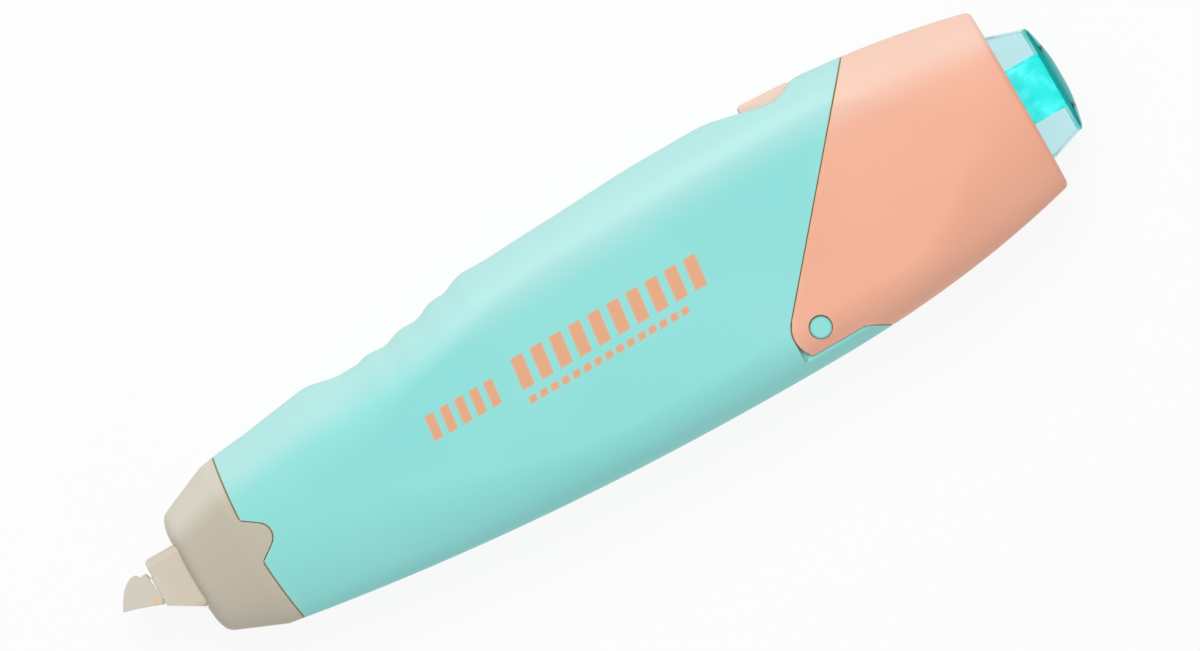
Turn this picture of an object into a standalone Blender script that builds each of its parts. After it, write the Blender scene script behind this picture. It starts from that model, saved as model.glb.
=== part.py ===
"""Refillable knock-type correction tape, lying on its broad side.

Shapes are worked out in the pen's own frame: u runs from the tip edge (u = 0) to the knock button,
y is positive towards the spine (the finger grip side), and z is measured from the parting plane.
The last section moves everything so that the part stands on z = 0 with its middle over the origin.
"""
import math

import bmesh
import bpy
from mathutils import Matrix, Vector

MM = 0.001

# Clearances
GAP = 0.3 * MM
PARTING_GAP = 0.2 * MM

# Tape, reels and gears
TAPE_WIDTH = 5.0 * MM
TAPE_THICKNESS = 0.25 * MM
ROLL_RADIUS = 11.5 * MM
SUPPLY_CORE_RADIUS = 6.0 * MM
TAKEUP_CORE_RADIUS = 5.6 * MM
LINER_ROLL_THICKNESS = 0.7 * MM
TAKEUP_FLANGE_RADIUS = 9.6 * MM
FLANGE_RIM = 1.1 * MM
FLANGE_THICKNESS = 0.6 * MM
SUPPLY_TEETH = 38
IDLER_TEETH = 12
TAKEUP_TEETH = 18
MODULE = 0.6 * MM
PRESSURE_ANGLE = math.radians(25)
BACKLASH = 0.16 * MM
GEAR_THICKNESS = 1.4 * MM
SUPPLY_POST_RADIUS = 2.5 * MM
TAKEUP_POST_RADIUS = 2.0 * MM
IDLER_POST_RADIUS = 1.2 * MM
POST_TIP_RADIUS = 1.3 * MM
CLUTCH_RADIUS = 4.6 * MM
CLUTCH_WIRE = 0.9 * MM
HUB_WALL = 1.1 * MM

# Cartridge frame
PLATE_THICKNESS = 0.9 * MM
PLATE_ROOM = 0.4 * MM
SUPPLY_PLATE_RADIUS = 11.4 * MM
TAKEUP_PLATE_RADIUS = 7.0 * MM
PILLAR_RADIUS = 1.0 * MM
PILLAR_Y = 8.2 * MM
SOCKET_HALF_WIDTH = 5.3 * MM
SOCKET_LENGTH = 6.5 * MM
RISER_HALF_WIDTH = 3.7 * MM
TAIL_WEB = 2.4 * MM
TAIL_LENGTH = 24.5 * MM
TAIL_FOOT = 2.0 * MM
CATCH_LENGTH = 1.8 * MM
CATCH_TOP = 10.2 * MM
GUIDE_RADIUS = 0.8 * MM
GUIDE_Y = -8.6 * MM
SPRING_LUG_LENGTH = 1.5 * MM
TAIL_TO_CATCH = 4.0 * MM
PUSH_FACE = 1.5 * MM
RISER_AHEAD = 2.0 * MM
RISER_BEHIND = 2.4 * MM
CHANNEL_HALF_WIDTH = 4.2 * MM
GUIDE_BEHIND = 3.0 * MM
GUIDE_ARM_Y = -3.0 * MM
PATH_EASE = 1.5 * MM
FEED_TURN_Y = -3.7 * MM
LINER_TURN_Y = 3.6 * MM

# Applicator head and its sleeve
HEAD_PROUD = 5.0 * MM
TIP_EDGE_Y = 0.31 * MM
HEAD_FLANGE_THICKNESS = 0.6 * MM
HEAD_FLANGE_LENGTH = 4.65 * MM
SLEEVE_PROUD = 4.07 * MM
SLEEVE_TOP = 4.4 * MM
SLEEVE_BOTTOM = 4.04 * MM
SLEEVE_CHAMFER = 2.4 * MM
SLEEVE_WALL = 0.8 * MM
SLEEVE_LENGTH = 21.5 * MM
SLEEVE_CORNER = 1.0 * MM
NECK_BOTTOM = 1.3 * MM
NECK_TOP = 2.2 * MM
NECK_RUN = 1.8 * MM
NECK_END_ROOM = 1.0 * MM
CORE_FRONT = 0.95 * MM
CORE_FRONT_LOW = 0.42 * MM
CORE_FRONT_HIGH = 0.65 * MM
CORE_FOOT = 0.72 * MM
CORE_SHOULDER = 0.5 * MM
TAPE_EDGE = (0.62 * MM, 0.16 * MM)
LINER_EDGE = (0.75 * MM, 0.95 * MM)

# Casing form
WALL = 1.8 * MM
SIDE_ROOM = 1.85 * MM
FRONT_NARROWING = 5.3 * MM
REAR_NARROWING = 4.25 * MM
FRONT_THINNING = 1.6 * MM
REAR_THINNING = 1.5 * MM
FLAT_HALF_WIDTH = 10.5 * MM
STRAIGHT_SIDE = 0.35
TAKEUP_TO_THINNING = 4.0 * MM
WIDEST_TO_THINNING = 20.0 * MM
SUPPLY_TO_WIDEST = 20.0 * MM
WIDEST_TO_END = 38.0 * MM
END_ROUNDING = 0.9 * MM
LEAST_FLAT = 0.6 * MM
CROWN_LEAD = 4.0 * MM
CROWN_RUN = 20.0 * MM

# Nose cone
NOSE_LENGTH = 8.53 * MM
NOSE_KNUCKLE = 1.0 * MM
NOSE_TAPER = 0.423
NOSE_THIN_TAPER = 0.24
NOSE_FRONT_ROUND = 1.03 * MM
NOSE_WALL = 1.3 * MM
SPIGOT_LENGTH = 3.0 * MM
SPIGOT_WALL = 1.0 * MM
SEAM_BOW = 0.9 * MM
TAB_HALF_WIDTH = 2.85 * MM
TAB_LENGTH = 2.75 * MM
TAB_TIP_RADIUS = 1.8 * MM
SEAM_TO_TAKEUP = 24.4 * MM

# Finger grip on the spine
GRIP_START = 13.9 * MM
GRIP_RAMP = 6.0 * MM
GRIP_LENGTH = 17.7 * MM
GRIP_DEPTH = 1.67 * MM
GRIP_HOLLOW = 0.45 * MM
RIB_HEIGHT = 0.2 * MM
RIB_PITCH = 4.8 * MM

# Inside the casing
BULKHEAD_THICKNESS = 1.0 * MM
PEG_RADIUS = 0.6 * MM
PEG_WALL = 0.6 * MM
PEG_HEIGHT = 1.8 * MM
RAIL_WIDTH = 1.0 * MM
RAIL_Y = 6.5 * MM
TONGUE_LENGTH = 4.0 * MM
TONGUE_THICKNESS = 1.2 * MM
TONGUE_ROOT = 2.4 * MM
TONGUE_INSET = 1.0 * MM
PEG_BEHIND_SOCKET = 3.0 * MM
PEG_BEHIND_GEARS = 9.0 * MM
PEG_AHEAD_OF_CATCH = 1.2 * MM

# Rear cover and its hinge
COVER_WALL = 1.2 * MM
END_WALL = 1.3 * MM
SUPPLY_TO_PIN = 23.6 * MM
PIN_INSET = 4.41 * MM
BOSS_RADIUS = 1.38 * MM
LUG_RADIUS = 3.55 * MM
FLOOR_DEPTH = 2.7 * MM
EAR_THICKNESS = 1.2 * MM
EAR_SETBACK = 0.05 * MM
LUG_STOCK = 0.8 * MM
SEAM_ANGLE = math.radians(49.4)
STRIP_INSET = 1.85 * MM
STRIP_PAST_PIN = 4.9 * MM
STRIP_SLOPE = math.radians(29)

# Knock button
BUTTON_PROUD = 6.0 * MM
BUTTON_HALF_WIDTH = 8.5 * MM
BUTTON_HALF_HEIGHT = 4.7 * MM
BUTTON_TAPER = 1.5 * MM
BUTTON_CORNER = 2.2 * MM
BUTTON_CROWN = 0.9 * MM
BUTTON_WALL = 1.1 * MM
BUTTON_END_WALL = 1.4 * MM
BUTTON_WING = 1.3 * MM
BUTTON_WING_LENGTH = 1.2 * MM
STEM_HALF_WIDTH = 3.7 * MM
STEM_HALF_HEIGHT = 3.0 * MM
STEM_CORNER = 0.6 * MM
BUTTON_EDGE = 0.6 * MM

# Release rocker in its saddle
PIN_TO_SADDLE = 8.4 * MM
SADDLE_RADIUS = 4.4 * MM
SADDLE_DEPTH = 1.85 * MM
SADDLE_RAMP = math.radians(13)
SADDLE_PAD = 1.8 * MM
SADDLE_RUN = 16.0 * MM
TAB_FRONT = 3.95 * MM
TAB_REAR = 3.2 * MM
TAB_RISE = 0.2 * MM
TAB_HALF_HEIGHT = 3.5 * MM
TAB_ROUND = 0.7 * MM
HOOK_LENGTH = 1.5 * MM
ROCKER_THICKNESS = 1.2 * MM
ROCKER_FULCRUM = 7.0 * MM
ROCKER_HUB_RADIUS = 1.5 * MM
ROCKER_PIN_RADIUS = 0.8 * MM
ROCKER_PIN_PAST = 2.0 * MM
ROCKER_PRESS = math.radians(6)
POST_WALL = 1.0 * MM

# Springs
RETURN_SPRING_RADIUS = 1.5 * MM
RETURN_SPRING_WIRE = 0.45 * MM
RETURN_SPRING_TURNS = 7
ROCKER_SPRING_RADIUS = 1.25 * MM
ROCKER_SPRING_WIRE = 0.4 * MM
ROCKER_SPRING_TURNS = 4
ROCKER_SPRING_LENGTH = 3.8 * MM
ROCKER_SPRING_AHEAD = 0.6 * MM
BRACKET_THICKNESS = 1.2 * MM

CORNER_STEPS = 6
ROUND_STEPS = 32

# Stations along the pen, measured from the tip edge
SLEEVE_AT = HEAD_PROUD
NOSE_AT = SLEEVE_AT + SLEEVE_PROUD
TRAVEL = NOSE_AT + 1.4 * GAP
SEAM_AT = NOSE_AT + NOSE_LENGTH
KNUCKLE_AT = SEAM_AT - NOSE_KNUCKLE
TAKEUP_AT = SEAM_AT + SEAM_TO_TAKEUP
IDLER_AT = TAKEUP_AT + MODULE * (TAKEUP_TEETH + IDLER_TEETH) / 2
SUPPLY_AT = IDLER_AT + MODULE * (IDLER_TEETH + SUPPLY_TEETH) / 2
WIDEST_AT = SUPPLY_AT + SUPPLY_TO_WIDEST
PIN_AT = SUPPLY_AT + SUPPLY_TO_PIN
SADDLE_AT = PIN_AT + PIN_TO_SADDLE
COVER_END = WIDEST_AT + WIDEST_TO_END
LENGTH = COVER_END + BUTTON_PROUD
THIN_FRONT_AT = TAKEUP_AT - TAKEUP_TO_THINNING
THIN_REAR_AT = WIDEST_AT + WIDEST_TO_THINNING

# Levels from the parting plane, built up from the tape outwards
TAPE_TOP = TAPE_WIDTH / 2
FLANGE_IN = TAPE_TOP + GAP
FLANGE_OUT = FLANGE_IN + FLANGE_THICKNESS
GEAR_TOP = -FLANGE_OUT - GAP
GEAR_BOTTOM = GEAR_TOP - GEAR_THICKNESS
BASE_TOP = GEAR_BOTTOM - GAP
BASE_BOTTOM = BASE_TOP - PLATE_THICKNESS
LID_BOTTOM = FLANGE_OUT + GAP
LID_TOP = LID_BOTTOM + PLATE_THICKNESS
HALF_THICKNESS = PLATE_ROOM - BASE_BOTTOM + WALL
SUPPLY_FLANGE_RADIUS = ROLL_RADIUS + FLANGE_RIM
HALF_WIDTH = SUPPLY_FLANGE_RADIUS + SIDE_ROOM + WALL
FLOOR_LEVEL = HALF_THICKNESS - FLOOR_DEPTH
LUG_LEVEL = FLOOR_LEVEL + GAP
PIN_Y = PIN_INSET - HALF_WIDTH
STRIP_Y = STRIP_INSET - HALF_WIDTH
REACH = 2 * HALF_WIDTH

# Places that follow from the sizes above
SOCKET_REAR = TAKEUP_AT - TAKEUP_FLANGE_RADIUS - GAP
SOCKET_FRONT = SOCKET_REAR - SOCKET_LENGTH
BULKHEAD_AT = SEAM_AT + SPIGOT_LENGTH + 2.5 * GAP
SPRING_LUG_AT = SOCKET_REAR - GAP
TAIL_START = SUPPLY_AT + SUPPLY_FLANGE_RADIUS + GAP
TAIL_END = TAIL_START + TAIL_LENGTH
CATCH_AT = TAIL_START + TAIL_TO_CATCH
ROCKER_AT = SADDLE_AT - ROCKER_FULCRUM
ROCKER_Y = HALF_WIDTH - SADDLE_DEPTH - SADDLE_PAD - GAP - ROCKER_THICKNESS / 2
STEM_AT = TAIL_END + GAP


def smooth_step(t):
    """0 below t = 0, 1 above t = 1, with level ends."""
    t = min(max(t, 0), 1)
    return t * t * (3 - 2 * t)


def side_reach(u):
    """Half-width of the outline seen on the broad face, without the grip."""
    if u < KNUCKLE_AT:
        return side_reach(KNUCKLE_AT) - NOSE_TAPER * (KNUCKLE_AT - u)
    if u < WIDEST_AT:
        return HALF_WIDTH - FRONT_NARROWING * ((WIDEST_AT - u) / (WIDEST_AT - SEAM_AT)) ** 2.15
    return HALF_WIDTH - REAR_NARROWING * ((u - WIDEST_AT) / WIDEST_TO_END) ** 2.3


def spine_reach(u, ribs=True):
    """Height of the spine over the middle line, with the finger grip cut into it."""
    low = SEAM_AT + GRIP_START + GRIP_RAMP
    end = low + GRIP_LENGTH
    if u <= low:
        return side_reach(u) - GRIP_DEPTH * smooth_step((u - low + GRIP_RAMP) / GRIP_RAMP)
    if u >= end:
        return side_reach(u)
    share = (u - low) / GRIP_LENGTH
    chord = (1 - share) * (side_reach(low) - GRIP_DEPTH) + share * side_reach(end)
    hollow = GRIP_HOLLOW * 4 * share * (1 - share)
    rib = RIB_HEIGHT * math.cos(2 * math.pi * (u - end) / RIB_PITCH) if ribs else 0
    return chord - hollow + rib * min(1, 6 * share, 6 * (1 - share))


def half_thickness(u):
    """Half the thickness, thinning towards the nose and the rear end."""
    if u < KNUCKLE_AT:
        return half_thickness(KNUCKLE_AT) - NOSE_THIN_TAPER * (KNUCKLE_AT - u)
    if u < THIN_FRONT_AT:
        return HALF_THICKNESS - FRONT_THINNING * ((THIN_FRONT_AT - u) / (THIN_FRONT_AT - SEAM_AT)) ** 2
    if u > THIN_REAR_AT:
        return HALF_THICKNESS - REAR_THINNING * ((u - THIN_REAR_AT) / (COVER_END - THIN_REAR_AT)) ** 2
    return HALF_THICKNESS


def flat_half_width(u):
    """Half-width of the flat part of the broad face, fading to a crown at both ends."""
    front = smooth_step((u - SEAM_AT) / (SUPPLY_AT - SEAM_AT))
    rear = 1 - smooth_step((u - THIN_REAR_AT + CROWN_LEAD) / CROWN_RUN)
    return max(FLAT_HALF_WIDTH * front * rear, LEAST_FLAT)


def section(u, inset=0.0, ribs=True):
    """Ring of points around the casing at u: flats, straight sides and elliptical corners."""
    flat = flat_half_width(u)
    straight = STRAIGHT_SIDE * half_thickness(u)
    rise = max(half_thickness(u) - inset - straight, GAP / 3)
    ring = []
    for y_sign, z_sign in ((1, 1), (-1, 1), (-1, -1), (1, -1)):
        reach = (spine_reach(u, ribs) if y_sign > 0 else side_reach(u)) - inset - flat
        corner = []
        for step in range(CORNER_STEPS + 1):
            angle = math.pi / 2 * step / CORNER_STEPS
            y = y_sign * (flat + max(reach, GAP / 3) * math.cos(angle))
            z = z_sign * (straight + rise * math.sin(angle))
            corner.append(Vector((u, y, z)))
        ring += corner if y_sign == z_sign else corner[::-1]
    return ring


def rounded_rectangle(u, half_width, half_height, radius, middle=0.0):
    """Ring of points of a rounded rectangle across the pen at u."""
    ring = []
    steps = 4
    for quarter, (y_sign, z_sign) in enumerate(((1, 1), (-1, 1), (-1, -1), (1, -1))):
        for step in range(steps + 1):
            angle = math.pi / 2 * (quarter + step / steps)
            y = middle + y_sign * (half_width - radius) + radius * math.cos(angle)
            z = z_sign * (half_height - radius) + radius * math.sin(angle)
            ring.append(Vector((u, y, z)))
    return ring


def arc(middle, radius, start, end, steps):
    """Points of an arc in the u, y plane; angles in radians."""
    angles = [start + (end - start) * step / steps for step in range(steps + 1)]
    return [(middle[0] + radius * math.cos(a), middle[1] + radius * math.sin(a)) for a in angles]


def solid(name, mesh_builder):
    """A new object whose closed mesh comes from a bmesh, with its faces pointing out."""
    bmesh.ops.recalc_face_normals(mesh_builder, faces=mesh_builder.faces)
    mesh = bpy.data.meshes.new(name)
    mesh_builder.to_mesh(mesh)
    mesh_builder.free()
    piece = bpy.data.objects.new(name, mesh)
    bpy.context.scene.collection.objects.link(piece)
    return piece


def loft(name, rings):
    """Closed body through rings of equal length, capped at both ends."""
    builder = bmesh.new()
    loops = [[builder.verts.new(point) for point in ring] for ring in rings]
    for near, far in zip(loops, loops[1:]):
        for index in range(len(near)):
            after = (index + 1) % len(near)
            builder.faces.new((near[index], near[after], far[after], far[index]))
    builder.faces.new(loops[0])
    builder.faces.new(loops[-1][::-1])
    return solid(name, builder)


def prism(name, outline, bottom, top):
    """Outline in the u, y plane carried from one level to another."""
    return loft(name, [[Vector((u, y, z)) for u, y in outline] for z in (bottom, top)])


def box(name, u_range, y_range, z_range):
    """Block given by its three ranges."""
    (u0, u1), (y0, y1) = u_range, y_range
    return prism(name, [(u0, y0), (u1, y0), (u1, y1), (u0, y1)], *z_range)


def drum(name, middle, radius, bottom, top, steps=ROUND_STEPS):
    """Upright cylinder at a point of the u, y plane."""
    return prism(name, arc(middle, radius, 0, 2 * math.pi, steps)[:-1], bottom, top)


def turned(name, middle, profile, steps=48):
    """Ring-shaped body: a closed profile of (radius, z) points turned about an upright axis."""
    builder = bmesh.new()
    loops = []
    for step in range(steps):
        angle = 2 * math.pi * step / steps
        spoke = (math.cos(angle), math.sin(angle))
        loops.append([builder.verts.new((middle[0] + r * spoke[0], middle[1] + r * spoke[1], z))
                      for r, z in profile])
    for index, near in enumerate(loops):
        far = loops[(index + 1) % steps]
        for point in range(len(profile)):
            after = (point + 1) % len(profile)
            builder.faces.new((near[point], near[after], far[after], far[point]))
    return solid(name, builder)


def combine(piece, tools, operation):
    """Join tools to a piece, or cut them out of it, and keep the result as its mesh."""
    for tool in tools:
        modifier = piece.modifiers.new(operation.lower(), 'BOOLEAN')
        modifier.operation = operation
        modifier.object = tool
        modifier.solver = 'EXACT'
    graph = bpy.context.evaluated_depsgraph_get()
    result = bpy.data.meshes.new_from_object(piece.evaluated_get(graph))
    piece.modifiers.clear()
    piece.data = result
    for tool in tools:
        bpy.data.objects.remove(tool)
    return piece


def join(piece, *tools):
    return combine(piece, tools, 'UNION')


def cut(piece, *tools):
    return combine(piece, tools, 'DIFFERENCE')


def keep_inside(piece, *tools):
    return combine(piece, tools, 'INTERSECT')


def stations(start, end, count):
    """Evenly spaced stations along the pen, both ends included."""
    return [start + (end - start) * step / count for step in range(count + 1)]


def whole_form():
    """The closed outer form from the nose face to the rear end of the cover."""
    full_at = NOSE_AT + NOSE_FRONT_ROUND
    rings = []
    for share, size in ((0, 0.5), (0.24, 0.78), (0.71, 0.93)):
        rings.append([Vector((NOSE_AT + share * NOSE_FRONT_ROUND, size * p.y, size * p.z))
                      for p in section(full_at)])
    grip = SEAM_AT + GRIP_START
    grip_end = grip + GRIP_RAMP + GRIP_LENGTH
    places = stations(full_at, KNUCKLE_AT, 2) + stations(SEAM_AT, grip, 4)
    places += stations(grip, grip_end, 20)[1:] + stations(grip_end, THIN_REAR_AT, 8)[1:]
    places += stations(THIN_REAR_AT, COVER_END - END_ROUNDING, 8)[1:]
    rings += [section(u) for u in places]
    for share in (0.5, 0.85, 1.0):
        inset = END_ROUNDING * (1 - math.sqrt(1 - share * share))
        rings.append(section(COVER_END - END_ROUNDING * (1 - share), inset))
    return loft('whole_form', rings)


def hollow(name, start, end, inset, count):
    """The form's offset by a wall thickness, between two stations."""
    return loft(name, [section(u, inset, ribs=False) for u in stations(start, end, count)])


def nose_outline(grow):
    """Everything ahead of the bowed front seam, with the snap tab; grow moves the edge back."""
    tip = (SEAM_AT + TAB_LENGTH - TAB_TIP_RADIUS, 0.0)
    radius = TAB_TIP_RADIUS + grow
    foot = (SEAM_AT + grow, TAB_HALF_WIDTH + grow)
    away = (foot[0] - tip[0], foot[1] - tip[1])
    touch = math.atan2(away[1], away[0]) - math.acos(radius / math.hypot(*away))
    bow = []
    for share in (2.0, 0.74, 0.49, 0.31):
        bow.append((SEAM_AT + grow + SEAM_BOW * min((1.5 * share) ** 2, 1.2), share * HALF_WIDTH))
    below = [(u, -y) for u, y in bow]
    outline = [(-REACH, -REACH)] + below + [(foot[0], -foot[1])]
    outline += arc(tip, radius, -touch, touch, 10) + [foot] + bow[::-1]
    return outline + [(-REACH, REACH)]


def cover_outline(grow):
    """Everything behind the slanted seam and around the hinge lug; grow moves the edge forward."""
    radius = LUG_RADIUS + grow
    along = (math.cos(SEAM_ANGLE), math.sin(SEAM_ANGLE))
    tangent = SEAM_ANGLE + math.pi / 2
    start = arc((PIN_AT, PIN_Y), radius, tangent, tangent, 1)[0]
    far = 1.5 * REACH
    floor = STRIP_Y - grow
    low = 2 * math.pi + math.asin(max((floor - PIN_Y) / radius, -0.999))
    low = 3 * math.pi - low
    corner = PIN_AT + STRIP_PAST_PIN - grow * math.tan(STRIP_SLOPE / 2)
    drop = (REACH, -REACH * math.tan(STRIP_SLOPE))
    outline = [(start[0] + far * along[0], start[1] + far * along[1])]
    outline += arc((PIN_AT, PIN_Y), radius, tangent, low, 10)
    outline += [(corner, floor), (corner + drop[0], floor + drop[1])]
    return outline + [(corner + 3 * REACH, floor + drop[1]), (corner + 3 * REACH, far)]


def strip_tip():
    """How far the side strip reaches from the hinge pin."""
    u = PIN_AT + STRIP_PAST_PIN - GAP * math.tan(STRIP_SLOPE / 2)
    u += (side_reach(u) + STRIP_Y - GAP) / math.tan(STRIP_SLOPE)
    return math.hypot(u - PIN_AT, side_reach(u) + PIN_Y)


def seam_u(y):
    """Station of the slanted seam at height y."""
    tangent = SEAM_ANGLE + math.pi / 2
    u, base = arc((PIN_AT, PIN_Y), LUG_RADIUS, tangent, tangent, 1)[0]
    return u + (y - base) / math.tan(SEAM_ANGLE)


def head_flange_outline():
    """Side view of the applicator's guard plates: pressing corner, straight foot, hooked back."""
    shares = [(1.0, -0.286), (1.032, 0.129), (1.0, 0.574), (0.946, 0.665), (0.761, 0.63),
              (0.69, 0.748), (0.486, 0.669), (0.191, 0.417)]
    back = [(u * HEAD_FLANGE_LENGTH, y * HEAD_FLANGE_LENGTH) for u, y in shares]
    return [(0.0, TIP_EDGE_Y)] + back


def gear_outline(middle, teeth, phase):
    """Spur gear outline with involute flanks; one tooth points along phase."""
    pitch = MODULE * teeth / 2
    base = pitch * math.cos(PRESSURE_ANGLE)
    root = pitch - MODULE
    tip = pitch + 0.8 * MODULE
    half_pitch = math.pi / (2 * teeth) - BACKLASH / (2 * pitch)

    def half_angle(radius):
        pressure = math.acos(min(base / radius, 1))
        start = math.tan(PRESSURE_ANGLE) - PRESSURE_ANGLE
        return half_pitch + start - (math.tan(pressure) - pressure)

    flank = [(radius, half_angle(max(radius, base))) for radius in (root, pitch, tip)]
    outline = []
    for tooth in range(teeth):
        centre = phase + 2 * math.pi * tooth / teeth
        for radius, angle in [(r, -a) for r, a in flank] + flank[::-1]:
            outline.append((middle[0] + radius * math.cos(centre + angle),
                            middle[1] + radius * math.sin(centre + angle)))
    return outline


def belt_outline(front, rear):
    """Outline of a band around two circles on the middle line, each (station, radius)."""
    lean = math.asin((rear[1] - front[1]) / (rear[0] - front[0]))
    side = math.pi / 2 + lean
    outline = arc((rear[0], 0), rear[1], -side, side, 16)
    return outline + arc((front[0], 0), front[1], side, 2 * math.pi - side, 12)


def strip_outline(path):
    """Outline of a thin strip that follows a path, half its thickness on each side."""
    left = []
    right = []
    for index, point in enumerate(path):
        before = Vector(path[max(index - 1, 0)])
        after = Vector(path[min(index + 1, len(path) - 1)])
        along = (after - before).normalized()
        across = Vector((-along.y, along.x)) * TAPE_THICKNESS / 2
        left.append((point[0] + across.x, point[1] + across.y))
        right.append((point[0] - across.x, point[1] - across.y))
    return left + right[::-1]


def coil_spring(name, start, direction, length, radius, wire, turns):
    """Round-wire helix from a start point along an axis; prints its least gap to itself."""
    axis = Vector(direction).normalized()
    across = axis.orthogonal().normalized()
    third = axis.cross(across)
    count = 9 * turns
    climb = length - wire
    curve = bpy.data.curves.new(name, 'CURVE')
    curve.dimensions = '3D'
    curve.bevel_depth = wire / 2
    curve.bevel_resolution = 1
    curve.use_fill_caps = True
    spline = curve.splines.new('POLY')
    spline.points.add(count)
    points = []
    for step in range(count + 1):
        angle = 2 * math.pi * turns * step / count
        ring = across * math.cos(angle) + third * math.sin(angle)
        points.append(Vector(start) + axis * (wire / 2 + climb * step / count) + radius * ring)
        spline.points[step].co = (*points[-1], 1)
    gaps = [(a - b).length - wire for i, a in enumerate(points) for b in points[i + 6:]]
    print(name, 'least gap to itself', round(min(gaps) / MM, 2), 'mm')
    piece = bpy.data.objects.new(name, curve)
    bpy.context.scene.collection.objects.link(piece)
    return piece


def make_nose_cone(form):
    """Cream nose: tapered ring with a snap tab on each broad face and a spigot into the body."""
    piece = keep_inside(form, prism('nose_region', nose_outline(0), -REACH, REACH))
    piece.name = 'nose_cone'
    spigot_end = SEAM_AT + SPIGOT_LENGTH
    join(piece, hollow('spigot', KNUCKLE_AT - 2 * NOSE_KNUCKLE, spigot_end, WALL + GAP, 3))
    cut(piece, hollow('nose_room', NOSE_AT + 2 * NOSE_WALL, spigot_end + GAP,
                      WALL + GAP + SPIGOT_WALL, 4))
    return cut(piece, sleeve_hole('nose_hole', NOSE_AT - GAP, spigot_end + GAP))


def sleeve_half_height():
    """Half-height of the sleeve around the head's neck."""
    return FLANGE_IN + GAP + SLEEVE_WALL


def sleeve_ring(u, grow):
    """Section of the sleeve, grown by a clearance or shrunk by its wall."""
    middle = (SLEEVE_TOP - SLEEVE_BOTTOM) / 2
    half = (SLEEVE_TOP + SLEEVE_BOTTOM) / 2
    radius = max(SLEEVE_CORNER + grow, SLEEVE_CORNER / 5)
    return rounded_rectangle(u, half + grow, sleeve_half_height() + grow, radius, middle)


def sleeve_hole(name, start, end):
    """Passage for the sleeve with running clearance."""
    return loft(name, [sleeve_ring(u, GAP) for u in (start, end)])


def make_body(form):
    """Mint casing in one piece, before it is parted: tube, bulkhead, hinge ears, saddle and posts."""
    piece = cut(form, prism('nose_room', nose_outline(GAP), -REACH, REACH),
                prism('cover_room', cover_outline(GAP), -REACH, REACH),
                hollow('body_room', KNUCKLE_AT - 2 * NOSE_KNUCKLE, COVER_END - 2 * WALL, WALL, 22))
    piece.name = 'body'
    bulkhead = hollow('bulkhead', BULKHEAD_AT, BULKHEAD_AT + BULKHEAD_THICKNESS, WALL / 2, 1)
    join(piece, cut(bulkhead, sleeve_hole('bulkhead_hole', BULKHEAD_AT - GAP, SOCKET_FRONT)))
    step_u = PIN_AT - LUG_RADIUS - GAP
    for sign in (1, -1):
        ear_levels = sorted((sign * (FLOOR_LEVEL - EAR_SETBACK), sign * (FLOOR_LEVEL - EAR_THICKNESS)))
        cut(piece, box('strip_top', (step_u, COVER_END), (-REACH, PIN_Y),
                       sorted((sign * FLOOR_LEVEL, sign * REACH))))
        join(piece, prism('ear', ear_outline(), *ear_levels))
        tongue_top = HALF_THICKNESS - COVER_WALL - GAP
        join(piece, prism('tongue', tongue_outline(),
                          *sorted((sign * tongue_top, sign * (tongue_top - TONGUE_THICKNESS)))))
        boss_top = half_thickness(PIN_AT) - GAP
        join(piece, drum('boss', (PIN_AT, PIN_Y), BOSS_RADIUS,
                         *sorted((sign * (FLOOR_LEVEL - EAR_THICKNESS / 2), sign * boss_top))))
    pad_inner = HALF_WIDTH - SADDLE_DEPTH - SADDLE_PAD
    pad_half = FLOOR_LEVEL + GAP / 3
    join(piece, box('saddle_pad', (ROCKER_AT + ROCKER_HUB_RADIUS + GAP, SADDLE_AT + TAB_REAR + 5 * GAP),
                    (pad_inner, HALF_WIDTH - WALL / 2 - GAP), (-pad_half, pad_half)))
    cut(piece, prism('saddle', saddle_outline(), -REACH, REACH),
        box('window', (SADDLE_AT - TAB_FRONT - GAP, SADDLE_AT + TAB_REAR + GAP),
            (pad_inner - WALL, REACH), (-TAB_HALF_HEIGHT - GAP, TAB_HALF_HEIGHT + GAP)))
    return piece


def ear_outline():
    """Plate that carries the hinge boss, rounded towards the cover and rooted in the side strip."""
    radius = LUG_RADIUS - GAP
    root = -side_reach(PIN_AT) + WALL / 2
    front = PIN_AT - LUG_RADIUS - GAP
    return ([(front, root), (PIN_AT + radius, root)]
            + arc((PIN_AT, PIN_Y), radius, 0, math.pi / 2, 8) + [(front, PIN_Y + radius)])


def tongue_outline():
    """Strip along the slanted seam that laps under the cover's plate."""
    low = -TAIL_WEB + GAP
    high = FLAT_HALF_WIDTH - TONGUE_INSET
    return [(seam_u(low) - TONGUE_ROOT, low), (seam_u(low) + TONGUE_LENGTH, low),
            (seam_u(high) + TONGUE_LENGTH, high), (seam_u(high) - TONGUE_ROOT, high)]


def saddle_outline():
    """Thumb saddle in the spine: a long ramp that runs into a round hollow."""
    middle = (SADDLE_AT, HALF_WIDTH - SADDLE_DEPTH + SADDLE_RADIUS)
    touch = -math.pi / 2 - SADDLE_RAMP
    hollow_points = arc(middle, SADDLE_RADIUS, touch, -math.pi / 6, 10)
    start = (hollow_points[0][0] - SADDLE_RUN, hollow_points[0][1] + SADDLE_RUN * math.tan(SADDLE_RAMP))
    return [start] + hollow_points + [(hollow_points[-1][0], REACH), (start[0], REACH)]


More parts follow.
